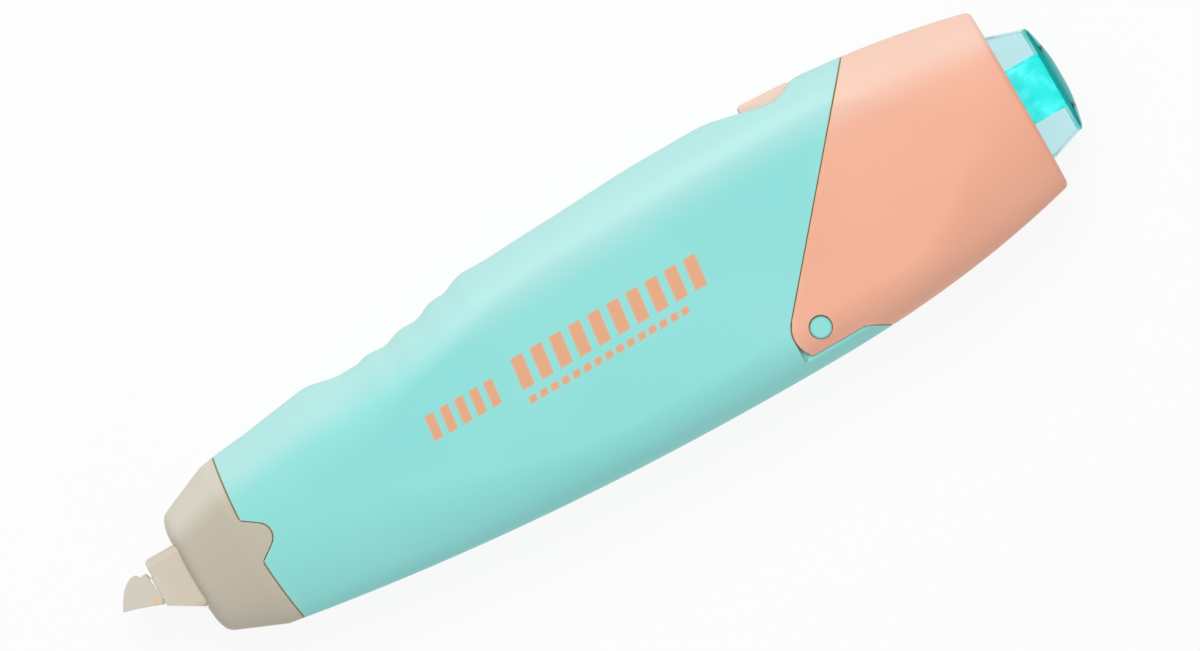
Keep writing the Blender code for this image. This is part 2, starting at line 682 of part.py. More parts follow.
def peg_places():
    """Where pegs hold the two shells together, clear of the cartridge at both ends of its travel."""
    front = (SOCKET_FRONT + PEG_BEHIND_SOCKET, -side_reach(SOCKET_FRONT) + WALL + 2 * PEG_RADIUS)
    middle_u = (IDLER_AT + TAKEUP_AT) / 2 + PEG_BEHIND_GEARS
    middle = (middle_u, -side_reach(middle_u) + WALL + PEG_RADIUS)
    rear_u = CATCH_AT - PEG_AHEAD_OF_CATCH
    return [front, middle, (rear_u, side_reach(rear_u) - WALL - PEG_RADIUS)]


def rocker_posts(sign):
    """Post on one shell that holds the rocker's pin, and the blind hole in it."""
    middle = (ROCKER_AT, ROCKER_Y)
    inner = TAB_HALF_HEIGHT + GAP
    outer = HALF_THICKNESS - WALL - GAP / 3
    post = drum('rocker_post', middle, ROCKER_PIN_RADIUS + POST_WALL,
                *sorted((sign * inner, sign * outer)), 20)
    bore = drum('rocker_bore', middle, ROCKER_PIN_RADIUS + GAP / 2,
                *sorted((sign * (inner - GAP), sign * (rocker_pin_half() + GAP))), 20)
    return post, bore


def rocker_pin_half():
    """Half the length of the rocker's pin."""
    return TAB_HALF_HEIGHT + ROCKER_PIN_PAST


def make_body_shells(body):
    """Part the casing into its upper and lower shells and give them posts, pegs, rails and bracket."""
    upper = body.copy()
    upper.data = body.data.copy()
    bpy.context.scene.collection.objects.link(upper)
    half_gap = PARTING_GAP / 2
    shells = ((upper, 1, 'body_shell_upper'), (body, -1, 'body_shell_lower'))
    inside = HALF_THICKNESS - WALL + PARTING_GAP
    for shell, sign, name in shells:
        shell.name = name
        cut(shell, box('other_half', (-REACH, LENGTH + REACH), (-REACH, REACH),
                       sorted((sign * half_gap, -sign * REACH))))
        post, bore = rocker_posts(sign)
        join(shell, post)
        cut(shell, bore)
        for place in peg_places():
            peg_post = drum('peg_post', place, PEG_RADIUS + PEG_WALL,
                            *sorted((sign * half_gap, sign * inside)), 16)
            room = hollow('post_room', place[0] - 5 * PEG_RADIUS, place[0] + 5 * PEG_RADIUS, WALL / 2, 4)
            join(shell, keep_inside(peg_post, room))
    for place in peg_places():
        join(body, drum('peg', place, PEG_RADIUS, -PEG_HEIGHT, PEG_HEIGHT, 16))
        cut(upper, drum('socket', place, PEG_RADIUS + 0.7 * GAP, -PEG_HEIGHT, PEG_HEIGHT + GAP, 16))
    for side in (1, -1):
        join(upper, box('rail', (IDLER_AT, SUPPLY_AT + SUPPLY_FLANGE_RADIUS),
                        sorted((side * RAIL_Y, side * (RAIL_Y + RAIL_WIDTH))), (LID_TOP + GAP, inside)))
    low = rocker_spring_foot() - GAP
    middle = SADDLE_AT - ROCKER_SPRING_AHEAD
    half = ROCKER_SPRING_RADIUS + ROCKER_SPRING_WIRE / 2 + GAP
    join(body, box('bracket', (middle - half, middle + half), (low - BRACKET_THICKNESS, low),
                   (-inside, TAB_HALF_HEIGHT / 2)))
    return upper, body


def make_rear_cover(form):
    """Peach rear cover: slanted front edge, hinge lugs on both faces, opening for the button."""
    piece = keep_inside(form, prism('cover_region', cover_outline(0), -REACH, REACH))
    piece.name = 'rear_cover'
    room = hollow('cover_room', WIDEST_AT - WIDEST_TO_END / 2, COVER_END - END_WALL, COVER_WALL, 14)
    keep = drum('lug_stock', (PIN_AT, PIN_Y), LUG_RADIUS + LUG_STOCK, LUG_LEVEL, REACH)
    other = drum('lug_stock', (PIN_AT, PIN_Y), LUG_RADIUS + LUG_STOCK, -REACH, -LUG_LEVEL)
    cut(room, keep, other)
    cut(piece, room)
    cut(piece, drum('swing_room', (PIN_AT, PIN_Y), strip_tip() + GAP, -LUG_LEVEL, LUG_LEVEL, 48),
        drum('boss_hole', (PIN_AT, PIN_Y), BOSS_RADIUS + 0.8 * GAP, -REACH, REACH))
    opening = [rounded_rectangle(u, BUTTON_HALF_WIDTH + GAP, BUTTON_HALF_HEIGHT + GAP, BUTTON_CORNER)
               for u in (COVER_END - 2 * END_WALL, COVER_END + END_WALL)]
    return cut(piece, loft('button_opening', opening))


def button_ring(u, inset=0.0):
    """Section of the knock button: straight inside the cover, tapering outside it."""
    share = max(u - COVER_END, 0) / BUTTON_PROUD
    narrow = BUTTON_TAPER * share / 0.75 + inset
    return rounded_rectangle(u, BUTTON_HALF_WIDTH - narrow, BUTTON_HALF_HEIGHT - narrow * 0.6 - inset * 0.4,
                             BUTTON_CORNER - inset)


def make_knock_button():
    """Clear teal cup with a crowned end, two stop wings and a stem that pushes the cartridge."""
    wing_rear = COVER_END - END_WALL - TRAVEL - GAP
    wing_front = wing_rear - BUTTON_WING_LENGTH
    rim = LENGTH - BUTTON_CROWN
    rings = [button_ring(u) for u in (wing_front, COVER_END, COVER_END + BUTTON_PROUD / 3, rim - BUTTON_EDGE)]
    edge = button_ring(rim - BUTTON_EDGE)
    for share, size in ((0.0, 0.91), (0.45, 0.66), (0.8, 0.4), (1.0, 0.12)):
        rings.append([Vector((rim + share * BUTTON_CROWN, size * p.y, size * p.z)) for p in edge])
    piece = loft('knock_button', rings)
    join(piece, loft('wings', [rounded_rectangle(u, BUTTON_HALF_WIDTH + BUTTON_WING, BUTTON_HALF_HEIGHT,
                                                 BUTTON_CORNER) for u in (wing_front, wing_rear)]))
    inside = [button_ring(u, BUTTON_WALL) for u in (wing_front - GAP, COVER_END, LENGTH - BUTTON_END_WALL)]
    cut(piece, loft('button_room', inside))
    return join(piece, loft('stem', [rounded_rectangle(u, STEM_HALF_WIDTH, STEM_HALF_HEIGHT, STEM_CORNER)
                                     for u in (STEM_AT, LENGTH - BUTTON_END_WALL + GAP)]))


def rocker_spring_foot():
    """Lower end of the rocker's spring."""
    return ROCKER_Y - ROCKER_THICKNESS / 2 - GAP - ROCKER_SPRING_LENGTH


def make_rocker():
    """Peach release rocker: thumb tab behind the pin, hook ahead of it."""
    bottom = ROCKER_Y - ROCKER_THICKNESS / 2
    top = ROCKER_Y + ROCKER_THICKNESS / 2
    front = CATCH_AT + CATCH_LENGTH + GAP
    rear = SADDLE_AT + TAB_REAR
    crest = HALF_WIDTH - TAB_RISE
    tab = SADDLE_AT - TAB_FRONT
    hook_rear = front + HOOK_LENGTH
    outline = [(front, CATCH_TOP + GAP), (hook_rear, CATCH_TOP + GAP), (hook_rear, bottom),
               (rear - 0.15 * TAB_ROUND, bottom), (rear, top), (rear - 0.3 * TAB_ROUND, crest - TAB_ROUND),
               (rear - 0.85 * TAB_ROUND, crest - 0.5 * TAB_ROUND), (tab + 0.55 * TAB_ROUND, crest),
               (tab, crest - 0.35 * TAB_ROUND), (tab, top), (front, top)]
    piece = prism('release_rocker', outline, -TAB_HALF_HEIGHT, TAB_HALF_HEIGHT)
    middle = (ROCKER_AT, ROCKER_Y)
    join(piece, drum('hub', middle, ROCKER_HUB_RADIUS, -TAB_HALF_HEIGHT, TAB_HALF_HEIGHT, 24))
    return cut(piece, drum('hub_bore', middle, ROCKER_PIN_RADIUS + GAP / 2, -REACH, REACH, 20))


def make_chassis():
    """Cartridge frame: base plate, posts, head socket, spring lug, tape guide and push tail."""
    plate = belt_outline((TAKEUP_AT, TAKEUP_PLATE_RADIUS), (SUPPLY_AT, SUPPLY_PLATE_RADIUS))
    piece = prism('cartridge_chassis', plate, BASE_BOTTOM, BASE_TOP)
    socket_bottom = GEAR_TOP - PLATE_THICKNESS
    root = BASE_TOP - PLATE_THICKNESS / 3
    join(piece, box('front_plate', (SOCKET_REAR + GAP, TAKEUP_AT), (-RISER_HALF_WIDTH, RISER_HALF_WIDTH),
                    (BASE_BOTTOM, BASE_TOP)),
         box('riser', (SOCKET_REAR - RISER_AHEAD, SOCKET_REAR + RISER_BEHIND),
             (-RISER_HALF_WIDTH, RISER_HALF_WIDTH), (root, GEAR_TOP - GAP / 3)))
    socket = box('socket', (SOCKET_FRONT, SOCKET_REAR), (-SOCKET_HALF_WIDTH, SOCKET_HALF_WIDTH),
                 (socket_bottom, LID_BOTTOM))
    lug_top = return_spring_y() + RETURN_SPRING_RADIUS
    join(socket, box('spring_lug', (SPRING_LUG_AT - SPRING_LUG_LENGTH, SPRING_LUG_AT),
                     (SOCKET_HALF_WIDTH - PLATE_THICKNESS, lug_top), (-TAPE_TOP, TAPE_TOP)))
    guide_u = SOCKET_REAR + GUIDE_BEHIND
    reach = 1.75 * GUIDE_RADIUS
    arm_root = SOCKET_REAR - RISER_AHEAD
    arm = [(arm_root, GUIDE_ARM_Y), (guide_u + reach, GUIDE_Y + reach),
           (guide_u + reach, GUIDE_Y - 1.5 * GUIDE_RADIUS), (guide_u - reach, GUIDE_Y - 1.5 * GUIDE_RADIUS),
           (arm_root, -SOCKET_HALF_WIDTH + 2 * GAP / 3)]
    join(socket, prism('guide_arm', arm, socket_bottom - GAP / 3, GEAR_TOP),
         drum('guide_post', (guide_u, GUIDE_Y), GUIDE_RADIUS, GEAR_TOP - PLATE_THICKNESS / 2, TAPE_TOP, 16))
    neck = loft('sleeve_seat', [sleeve_ring(u, GAP) for u in (SOCKET_FRONT - GAP, sleeve_end() + GAP)])
    channel = box('tape_channel', (SOCKET_FRONT, SOCKET_REAR + GAP),
                  (-CHANNEL_HALF_WIDTH, CHANNEL_HALF_WIDTH), (-FLANGE_IN, FLANGE_IN))
    join(piece, cut(socket, neck, channel))
    join(piece, drum('supply_post', (SUPPLY_AT, 0), SUPPLY_POST_RADIUS, root, FLANGE_OUT),
         drum('supply_tip', (SUPPLY_AT, 0), POST_TIP_RADIUS, root, LID_TOP, 20),
         drum('takeup_post', (TAKEUP_AT, 0), TAKEUP_POST_RADIUS, root, FLANGE_OUT),
         drum('takeup_tip', (TAKEUP_AT, 0), POST_TIP_RADIUS, root, LID_TOP, 20),
         drum('idler_post', (IDLER_AT, 0), IDLER_POST_RADIUS, root, GEAR_TOP - GAP / 3, 20))
    for side in (1, -1):
        join(piece, drum('pillar', (pillar_u(), side * PILLAR_Y), PILLAR_RADIUS, root,
                         LID_BOTTOM - GAP, 16))
    tail_bottom = BASE_TOP + GAP / 3
    join(piece, box('tail_root', (SUPPLY_AT, TAIL_START + TAIL_FOOT), (-TAIL_WEB, TAIL_WEB),
                    (BASE_BOTTOM, BASE_TOP)))
    tail = box('tail', (TAIL_START, TAIL_END), (-TAIL_WEB / 2, TAIL_WEB / 2), (tail_bottom, TAPE_TOP))
    join(tail, box('push_face', (TAIL_END - PUSH_FACE, TAIL_END), (-STEM_HALF_WIDTH, STEM_HALF_WIDTH),
                   (tail_bottom, TAPE_TOP + GAP)),
         box('tail_foot', (TAIL_START, TAIL_START + TAIL_FOOT), (-TAIL_WEB, TAIL_WEB),
             (root, tail_bottom + PLATE_THICKNESS)),
         box('catch', (CATCH_AT, CATCH_AT + CATCH_LENGTH), (0, CATCH_TOP),
             (-0.6 * TAPE_TOP, 0.6 * TAPE_TOP)))
    return join(piece, tail)


def pillar_u():
    """Station of the pillars that space the two cartridge plates."""
    return SUPPLY_AT - SUPPLY_FLANGE_RADIUS + GAP + PILLAR_RADIUS


def sleeve_end():
    """Rear end of the sleeve inside the socket."""
    return SLEEVE_AT + SLEEVE_LENGTH


def return_spring_y():
    """Height of the return spring's axis beside the sleeve."""
    return SOCKET_HALF_WIDTH + GAP + RETURN_SPRING_RADIUS + RETURN_SPRING_WIRE / 2


def make_lid():
    """Upper cartridge plate with holes for the two post tips."""
    plate = belt_outline((TAKEUP_AT, TAKEUP_PLATE_RADIUS), (SUPPLY_AT, SUPPLY_PLATE_RADIUS))
    piece = prism('cartridge_plate', plate, LID_BOTTOM, LID_TOP)
    for u in (TAKEUP_AT, SUPPLY_AT):
        cut(piece, drum('tip_hole', (u, 0), POST_TIP_RADIUS + GAP, LID_BOTTOM - GAP, LID_TOP + GAP, 20))
    return piece


def make_reel(name, u, bore, core, flange):
    """Spool with a flange on each side of the tape and a bore for its post."""
    outer = FLANGE_OUT
    inner = FLANGE_IN
    profile = [(bore, -outer), (flange, -outer), (flange, -inner), (core, -inner),
               (core, inner), (flange, inner), (flange, outer), (bore, outer)]
    return turned(name, (u, 0), profile)


def make_roll(name, u, inner, outer):
    """Wound tape or liner as one ring between the flanges."""
    profile = [(inner, -TAPE_TOP), (outer, -TAPE_TOP), (outer, TAPE_TOP), (inner, TAPE_TOP)]
    return turned(name, (u, 0), profile)


def make_gear(name, u, teeth, phase, bore, top=GEAR_TOP):
    """Spur gear on a post."""
    piece = prism(name, gear_outline((u, 0), teeth, phase), GEAR_BOTTOM, top)
    return cut(piece, drum('bore', (u, 0), bore, -REACH, REACH, 24))


def make_supply_gear():
    """Supply gear with a counterbore that holds the clutch ring."""
    piece = make_gear('supply_gear', SUPPLY_AT, SUPPLY_TEETH, math.pi, SUPPLY_POST_RADIUS + GAP)
    floor = GEAR_BOTTOM + GEAR_THICKNESS - CLUTCH_WIRE - GAP / 2
    return cut(piece, drum('counterbore', (SUPPLY_AT, 0), CLUTCH_RADIUS + CLUTCH_WIRE / 2 + GAP, floor, 0))


def make_clutch_ring():
    """Rubber friction ring between the supply gear and the supply reel."""
    half = CLUTCH_WIRE / 2
    middle = GEAR_TOP - half + GAP / 2
    profile = [(CLUTCH_RADIUS + half * math.cos(a), middle + half * math.sin(a))
               for a in (2 * math.pi * step / 8 for step in range(8))]
    return turned('clutch_ring', (SUPPLY_AT, 0), profile, 32)


def make_sleeve():
    """Cream sleeve around the head's neck, with its front foot cut away on the writing side."""
    piece = loft('tip_sleeve', [sleeve_ring(u, 0) for u in (SLEEVE_AT, sleeve_end())])
    bore = loft('sleeve_bore', [sleeve_ring(u, -SLEEVE_WALL) for u in (SLEEVE_AT - GAP, sleeve_end() + GAP)])
    ahead = SLEEVE_AT - SLEEVE_WALL
    under = -SLEEVE_BOTTOM - SLEEVE_WALL
    foot = [(ahead, under), (NOSE_AT, under), (NOSE_AT, -SLEEVE_BOTTOM),
            (SLEEVE_AT, -SLEEVE_BOTTOM + SLEEVE_CHAMFER), (ahead, -SLEEVE_BOTTOM + SLEEVE_CHAMFER)]
    return cut(piece, bore, prism('foot_cut', foot, -REACH, REACH))


def make_head():
    """Applicator: a wedge-shaped core that the tape runs round, between two guard plates."""
    rear = HEAD_FLANGE_LENGTH
    neck_end = sleeve_end() - NECK_END_ROOM
    core = [(CORE_FRONT, TIP_EDGE_Y + CORE_FRONT_LOW), (rear, -CORE_FOOT), (rear + NECK_RUN, -NECK_BOTTOM),
            (neck_end, -NECK_BOTTOM), (neck_end, NECK_TOP), (rear + NECK_RUN, NECK_TOP),
            (rear - CORE_SHOULDER, NECK_TOP), (CORE_FRONT, TIP_EDGE_Y + CORE_FRONT_HIGH)]
    piece = prism('tape_head', core, -FLANGE_IN, FLANGE_IN)
    inner = FLANGE_IN - GAP / 3
    outer = inner + HEAD_FLANGE_THICKNESS
    return join(piece, prism('guard', head_flange_outline(), inner, outer),
                prism('guard', head_flange_outline(), -outer, -inner))


def make_feed_tape():
    """White tape from the supply roll past the guide and through the sleeve to the pressing edge."""
    lift = TAPE_THICKNESS / 2 + 0.7 * GAP
    guide_u = SOCKET_REAR + GUIDE_BEHIND
    around = GUIDE_RADIUS + lift
    path = [(SUPPLY_AT, -ROLL_RADIUS - lift)]
    path += arc((guide_u, GUIDE_Y), around, -1.49, -2.6, 4)
    path += [(SOCKET_REAR + PATH_EASE / 3, FEED_TURN_Y), (SOCKET_FRONT + PATH_EASE, -NECK_BOTTOM - lift),
             (HEAD_FLANGE_LENGTH + NECK_RUN, -NECK_BOTTOM - lift), (HEAD_FLANGE_LENGTH, -CORE_FOOT - lift),
             (TAPE_EDGE[0], TIP_EDGE_Y + TAPE_EDGE[1])]
    return prism('feed_tape', strip_outline(path), -TAPE_TOP, TAPE_TOP)


def make_return_liner():
    """Bare liner from the pressing edge back over the head to the take-up reel."""
    lift = TAPE_THICKNESS / 2 + 0.7 * GAP
    roll = TAKEUP_CORE_RADIUS + GAP + LINER_ROLL_THICKNESS + lift
    path = [(LINER_EDGE[0], TIP_EDGE_Y + LINER_EDGE[1]),
            (HEAD_FLANGE_LENGTH - 2 * GAP, NECK_TOP + lift), (SOCKET_FRONT + PATH_EASE, NECK_TOP + lift),
            (SOCKET_REAR - 2 * PATH_EASE / 3, LINER_TURN_Y)]
    path += arc((TAKEUP_AT, 0), roll, 1.95, 1.5, 3)
    return prism('return_liner', strip_outline(path), -TAPE_TOP, TAPE_TOP)


def finish(name, colour, roughness, metallic=0.0, alpha=1.0):
    """Plain material: colour given as display values from 0 to 255."""
    material = bpy.data.materials.new(name)
    material.use_nodes = True
    shader = material.node_tree.nodes['Principled BSDF']
    linear = [((c / 255 + 0.055) / 1.055) ** 2.4 for c in colour]
    shader.inputs['Base Color'].default_value = (*linear, 1)
    shader.inputs['Roughness'].default_value = roughness
    shader.inputs['Metallic'].default_value = metallic
    shader.inputs['Alpha'].default_value = alpha
    return material


def set_down(piece, origin, material):
    """Move a finished piece into the part's frame, with its origin on its joint and its material."""
    lift = Vector((-LENGTH / 2, 0, HALF_THICKNESS))
    place = Vector(origin) + lift
    piece.data.transform(Matrix.Translation(lift - place))
    piece.location = place
    piece.data.materials.clear()
    piece.data.materials.append(material)
    if piece.type == 'MESH':
        piece.data.shade_smooth()
        piece.data.set_sharp_from_angle(angle=math.radians(30))


for old in list(bpy.data.objects):
    bpy.data.objects.remove(old)

mint = finish('mint_plastic', (148, 227, 221), 0.35)
peach = finish('peach_plastic', (245, 181, 152), 0.35)
cream = finish('cream_plastic', (206, 198, 180), 0.4)
teal = finish('clear_teal_plastic', (60, 215, 212), 0.15, alpha=0.6)
white = finish('white_plastic', (236, 236, 232), 0.45)
tape_white = finish('tape_white', (246, 246, 243), 0.6)
liner = finish('liner_paper', (236, 205, 160), 0.5)
steel = finish('spring_steel', (190, 192, 195), 0.3, metallic=1.0)
rubber = finish('clutch_rubber', (40, 40, 42), 0.7)

MIDDLE = (LENGTH / 2, 0, 0)
PIN = (PIN_AT, PIN_Y, 0)
SUPPLY = (SUPPLY_AT, 0, 0)
TAKEUP = (TAKEUP_AT, 0, 0)
ROCKER = (ROCKER_AT, ROCKER_Y, 0)

body_upper, body_lower = make_body_shells(make_body(whole_form()))
spring_front = BULKHEAD_AT + BULKHEAD_THICKNESS + GAP
spring_rear = SPRING_LUG_AT - SPRING_LUG_LENGTH - GAP
rocker_pin = drum('rocker_pin', (ROCKER_AT, ROCKER_Y), ROCKER_PIN_RADIUS,
                  -rocker_pin_half(), rocker_pin_half(), 20)

set_down(body_upper, MIDDLE, mint)
set_down(body_lower, MIDDLE, mint)
set_down(make_nose_cone(whole_form()), MIDDLE, cream)
set_down(make_rear_cover(whole_form()), PIN, peach)
set_down(make_knock_button(), (COVER_END, 0, 0), teal)
set_down(make_rocker(), ROCKER, peach)
set_down(rocker_pin, ROCKER, steel)
spring_foot = (SADDLE_AT - ROCKER_SPRING_AHEAD, rocker_spring_foot(), 0)
rocker_spring = coil_spring('rocker_spring', spring_foot, (0, 1, 0), ROCKER_SPRING_LENGTH,
                            ROCKER_SPRING_RADIUS, ROCKER_SPRING_WIRE, ROCKER_SPRING_TURNS)
return_spring = coil_spring('return_spring', (spring_front, return_spring_y(), 0), (1, 0, 0),
                            spring_rear - spring_front, RETURN_SPRING_RADIUS, RETURN_SPRING_WIRE,
                            RETURN_SPRING_TURNS)
set_down(rocker_spring, ROCKER, steel)
set_down(return_spring, MIDDLE, steel)
set_down(make_chassis(), SUPPLY, white)
set_down(make_lid(), SUPPLY, white)
set_down(make_sleeve(), (SLEEVE_AT, 0, 0), cream)
set_down(make_head(), (SLEEVE_AT, 0, 0), cream)
set_down(make_feed_tape(), (SLEEVE_AT, 0, 0), tape_white)
set_down(make_return_liner(), (SLEEVE_AT, 0, 0), liner)
set_down(make_reel('supply_reel', SUPPLY_AT, SUPPLY_POST_RADIUS + GAP, SUPPLY_CORE_RADIUS,
                   SUPPLY_FLANGE_RADIUS), SUPPLY, white)
set_down(make_roll('tape_roll', SUPPLY_AT, SUPPLY_CORE_RADIUS + GAP, ROLL_RADIUS), SUPPLY, tape_white)
set_down(make_supply_gear(), SUPPLY, white)
set_down(make_clutch_ring(), SUPPLY, rubber)
set_down(make_gear('idler_gear', IDLER_AT, IDLER_TEETH, math.pi / IDLER_TEETH, IDLER_POST_RADIUS + GAP),
         (IDLER_AT, 0, 0), white)
set_down(make_reel('takeup_reel', TAKEUP_AT, TAKEUP_POST_RADIUS + GAP, TAKEUP_CORE_RADIUS,
                   TAKEUP_FLANGE_RADIUS), TAKEUP, white)
set_down(make_roll('liner_roll', TAKEUP_AT, TAKEUP_CORE_RADIUS + GAP,
                   TAKEUP_CORE_RADIUS + GAP + LINER_ROLL_THICKNESS), TAKEUP, liner)
set_down(make_gear('takeup_gear', TAKEUP_AT, TAKEUP_TEETH, 0, TAKEUP_POST_RADIUS + GAP), TAKEUP, white)
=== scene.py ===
import math

import bmesh
import bpy
import numpy as np
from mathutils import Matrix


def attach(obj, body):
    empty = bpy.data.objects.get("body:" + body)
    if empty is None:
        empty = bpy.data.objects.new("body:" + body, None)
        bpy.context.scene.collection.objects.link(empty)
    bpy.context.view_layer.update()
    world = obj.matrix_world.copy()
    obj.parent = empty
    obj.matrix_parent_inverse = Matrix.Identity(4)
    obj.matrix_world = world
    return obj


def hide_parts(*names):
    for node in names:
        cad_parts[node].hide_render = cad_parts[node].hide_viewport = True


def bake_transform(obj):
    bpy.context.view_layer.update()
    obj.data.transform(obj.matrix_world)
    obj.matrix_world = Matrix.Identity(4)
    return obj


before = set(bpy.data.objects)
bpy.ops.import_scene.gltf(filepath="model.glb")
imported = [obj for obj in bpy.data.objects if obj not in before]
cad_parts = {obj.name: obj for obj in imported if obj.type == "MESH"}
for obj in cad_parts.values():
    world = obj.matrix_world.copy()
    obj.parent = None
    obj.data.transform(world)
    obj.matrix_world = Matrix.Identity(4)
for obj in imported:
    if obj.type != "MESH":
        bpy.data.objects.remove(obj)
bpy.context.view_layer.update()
scene = bpy.context.scene
scene.view_settings.view_transform = "Standard"


# Table, backdrop and light. The object lies on a white sheet under a large soft lamp that hangs
# over its grip side, with a weaker one opposite and an even grey room around it.
def area_light(name, place, target, size, power):
    """Round lamp at a place, turned to face a target."""
    lamp = bpy.data.lights.new(name, "AREA")
    lamp.shape = "DISK"
    lamp.size = size
    lamp.energy = power
    holder = bpy.data.objects.new(name, lamp)
    scene.collection.objects.link(holder)
    away = np.array(place) - np.array(target)
    flat = math.hypot(away[0], away[1])
    holder.location = place
    holder.rotation_euler = (math.atan2(flat, away[2]), 0, math.atan2(away[0], -away[1]))
    return holder


def put_mesh(name, shape, material, crease=35, **marks):
    """Object at the origin from points, quads and caps: doubles merged, faces turned outwards, and
    folds sharper than the crease angle kept hard. Marks are kept as attributes of the first points."""
    points, quads, caps = shape
    mesh = bpy.data.meshes.new(name)
    mesh.from_pydata(points.tolist(), [], quads.tolist() + [cap.tolist() for cap in caps])
    for mark, values in marks.items():
        padded = np.zeros(len(points))
        padded[:len(values)] = values
        mesh.attributes.new(mark, "FLOAT", "POINT").data.foreach_set("value", padded)
    builder = bmesh.new()
    builder.from_mesh(mesh)
    bmesh.ops.remove_doubles(builder, verts=builder.verts, dist=1e-7)
    bmesh.ops.recalc_face_normals(builder, faces=builder.faces)
    builder.to_mesh(mesh)
    builder.free()
    mesh.shade_smooth()
    mesh.set_sharp_from_angle(angle=math.radians(crease))
    mesh.materials.append(material)
    piece = bpy.data.objects.new(name, mesh)
    scene.collection.objects.link(piece)
    return piece


def feed(tree, socket, value):
    """Link a socket's source, or set its plain value."""
    if isinstance(value, bpy.types.NodeSocket):
        tree.links.new(value, socket)
    else:
        socket.default_value = value


def maths(tree, operation, a, b=0.0):
    """Math node on two sources or numbers."""
    node = tree.nodes.new("ShaderNodeMath")
    node.operation = operation
    feed(tree, node.inputs[0], a)
    feed(tree, node.inputs[1], b)
    return node.outputs[0]


def seen_directly(tree):
    """1 for rays of the camera and for those that gloss or clear plastic hands on, 0 for light: the
    largest of three light path flags."""
    path = tree.nodes.new("ShaderNodeLightPath").outputs
    handed_on = maths(tree, "MAXIMUM", path["Is Glossy Ray"], path["Is Transmission Ray"])
    return maths(tree, "MAXIMUM", path["Is Camera Ray"], handed_on)


GLOW_SHARE, ROOM_LIGHT, ROOM_WHITE = 0.9, 0.45, 1.0
sheet = bpy.data.materials.new("white_sheet")
sheet.use_nodes = True
sheet_tree = sheet.node_tree
paper = sheet_tree.nodes["Principled BSDF"]
paper.inputs["Base Color"].default_value = (0.86, 0.86, 0.86, 1)
paper.inputs["Roughness"].default_value = 0.9
glow = sheet_tree.nodes.new("ShaderNodeEmission")
glow.inputs["Color"].default_value = (1, 1, 1, 1)
glow.inputs["Strength"].default_value = 1.0
mixed = sheet_tree.nodes.new("ShaderNodeMixShader")
feed(sheet_tree, mixed.inputs[0], maths(sheet_tree, "MULTIPLY", seen_directly(sheet_tree), GLOW_SHARE))
feed(sheet_tree, mixed.inputs[1], paper.outputs[0])
feed(sheet_tree, mixed.inputs[2], glow.outputs[0])
feed(sheet_tree, sheet_tree.nodes["Material Output"].inputs["Surface"], mixed.outputs[0])
floor_points = np.array([[-3, -3, 0], [3, -3, 0], [3, 3, 0], [-3, 3, 0]], float)
put_mesh("floor", (floor_points, np.array([[0, 1, 2, 3]]), []), sheet)

room = bpy.data.worlds.new("soft_room")
room.use_nodes = True
room_tree = room.node_tree
backdrop = room_tree.nodes["Background"]
backdrop.inputs["Color"].default_value = (0.97, 0.98, 1.0, 1)
room_level = room_tree.nodes.new("ShaderNodeMapRange")
room_level.inputs["To Min"].default_value = ROOM_LIGHT
room_level.inputs["To Max"].default_value = ROOM_WHITE
feed(room_tree, room_level.inputs["Value"], seen_directly(room_tree))
feed(room_tree, backdrop.inputs["Strength"], room_level.outputs[0])
scene.world = room
area_light("key_lamp", (0.05, 0.28, 0.52), (0, 0, 0.008), 0.50, 2.15)
area_light("fill_lamp", (-0.10, -0.50, 0.18), (0, 0, 0.008), 0.40, 0.30)

lens = bpy.data.cameras.new("camera")
lens.lens = 500
lens.sensor_width = 36
lens.dof.use_dof = False
camera = bpy.data.objects.new("camera", lens)
camera.location = (0.00180, 0.00154, 2.0127)
camera.rotation_euler = (0, 0, math.radians(-30))
scene.collection.objects.link(camera)
scene.camera = camera


# Mint casing. Two shells of satin moulded plastic, parted along the middle plane and pegged
# together; the spine has a ribbed finger grip and a thumb saddle, the rear edge is cut on a slant,
# and a low strip on the underside carries the ears and bosses of the cover's hinge.
NOSE_AT, SEAM_AT, KNUCKLE_AT = 0.00907, 0.0176, 0.0166
WIDEST_AT, COVER_END, LENGTH = 0.086, 0.124, 0.130
HALF_WIDTH, HALF_THICKNESS, WALL = 0.01625, 0.0085, 0.0018
PIN_AT, PIN_Y, LUG_RADIUS = 0.0896, -0.01184, 0.00355
GAP, SEAM, LIP = 0.0003, 0.00004, 0.00013
LEDGE, STRIP_Y, STRIP_CORNER = 0.00672, -0.0144, 0.0944
SEAM_ANGLE, STRIP_SLOPE = math.radians(49.4), math.radians(29)
STEP_AT = PIN_AT - LUG_RADIUS - SEAM
BOSS_RADIUS, PEG_RADIUS = 0.00138, 0.0012
SIDE_TURN, FACE_TURN, STRAIGHT_SIDE = 0.08, 0.40, 0.35
CORNER_TURN = 0.32
# Reach of the edge mark, which carries rubbed wear and the painted shade at the seam rims.
EDGE_MARK_REACH = 0.0004
ROCKER_AT, ROCKER_Y = 0.0910, 0.0117
WINDOW = (0.09375, 0.1015, 0.0038)


def grid_faces(rows, columns, wrap=False, loop=False):
    """Quads of a grid stored row by row; wrap joins the last column to the first, loop the rows."""
    row, column = np.meshgrid(np.arange(rows if loop else rows - 1),
                              np.arange(columns if wrap else columns - 1), indexing="ij")
    below, after = (row + 1) % rows, (column + 1) % columns
    quads = np.stack([row * columns + column, row * columns + after,
                      below * columns + after, below * columns + column], axis=-1)
    return quads.reshape(-1, 4)


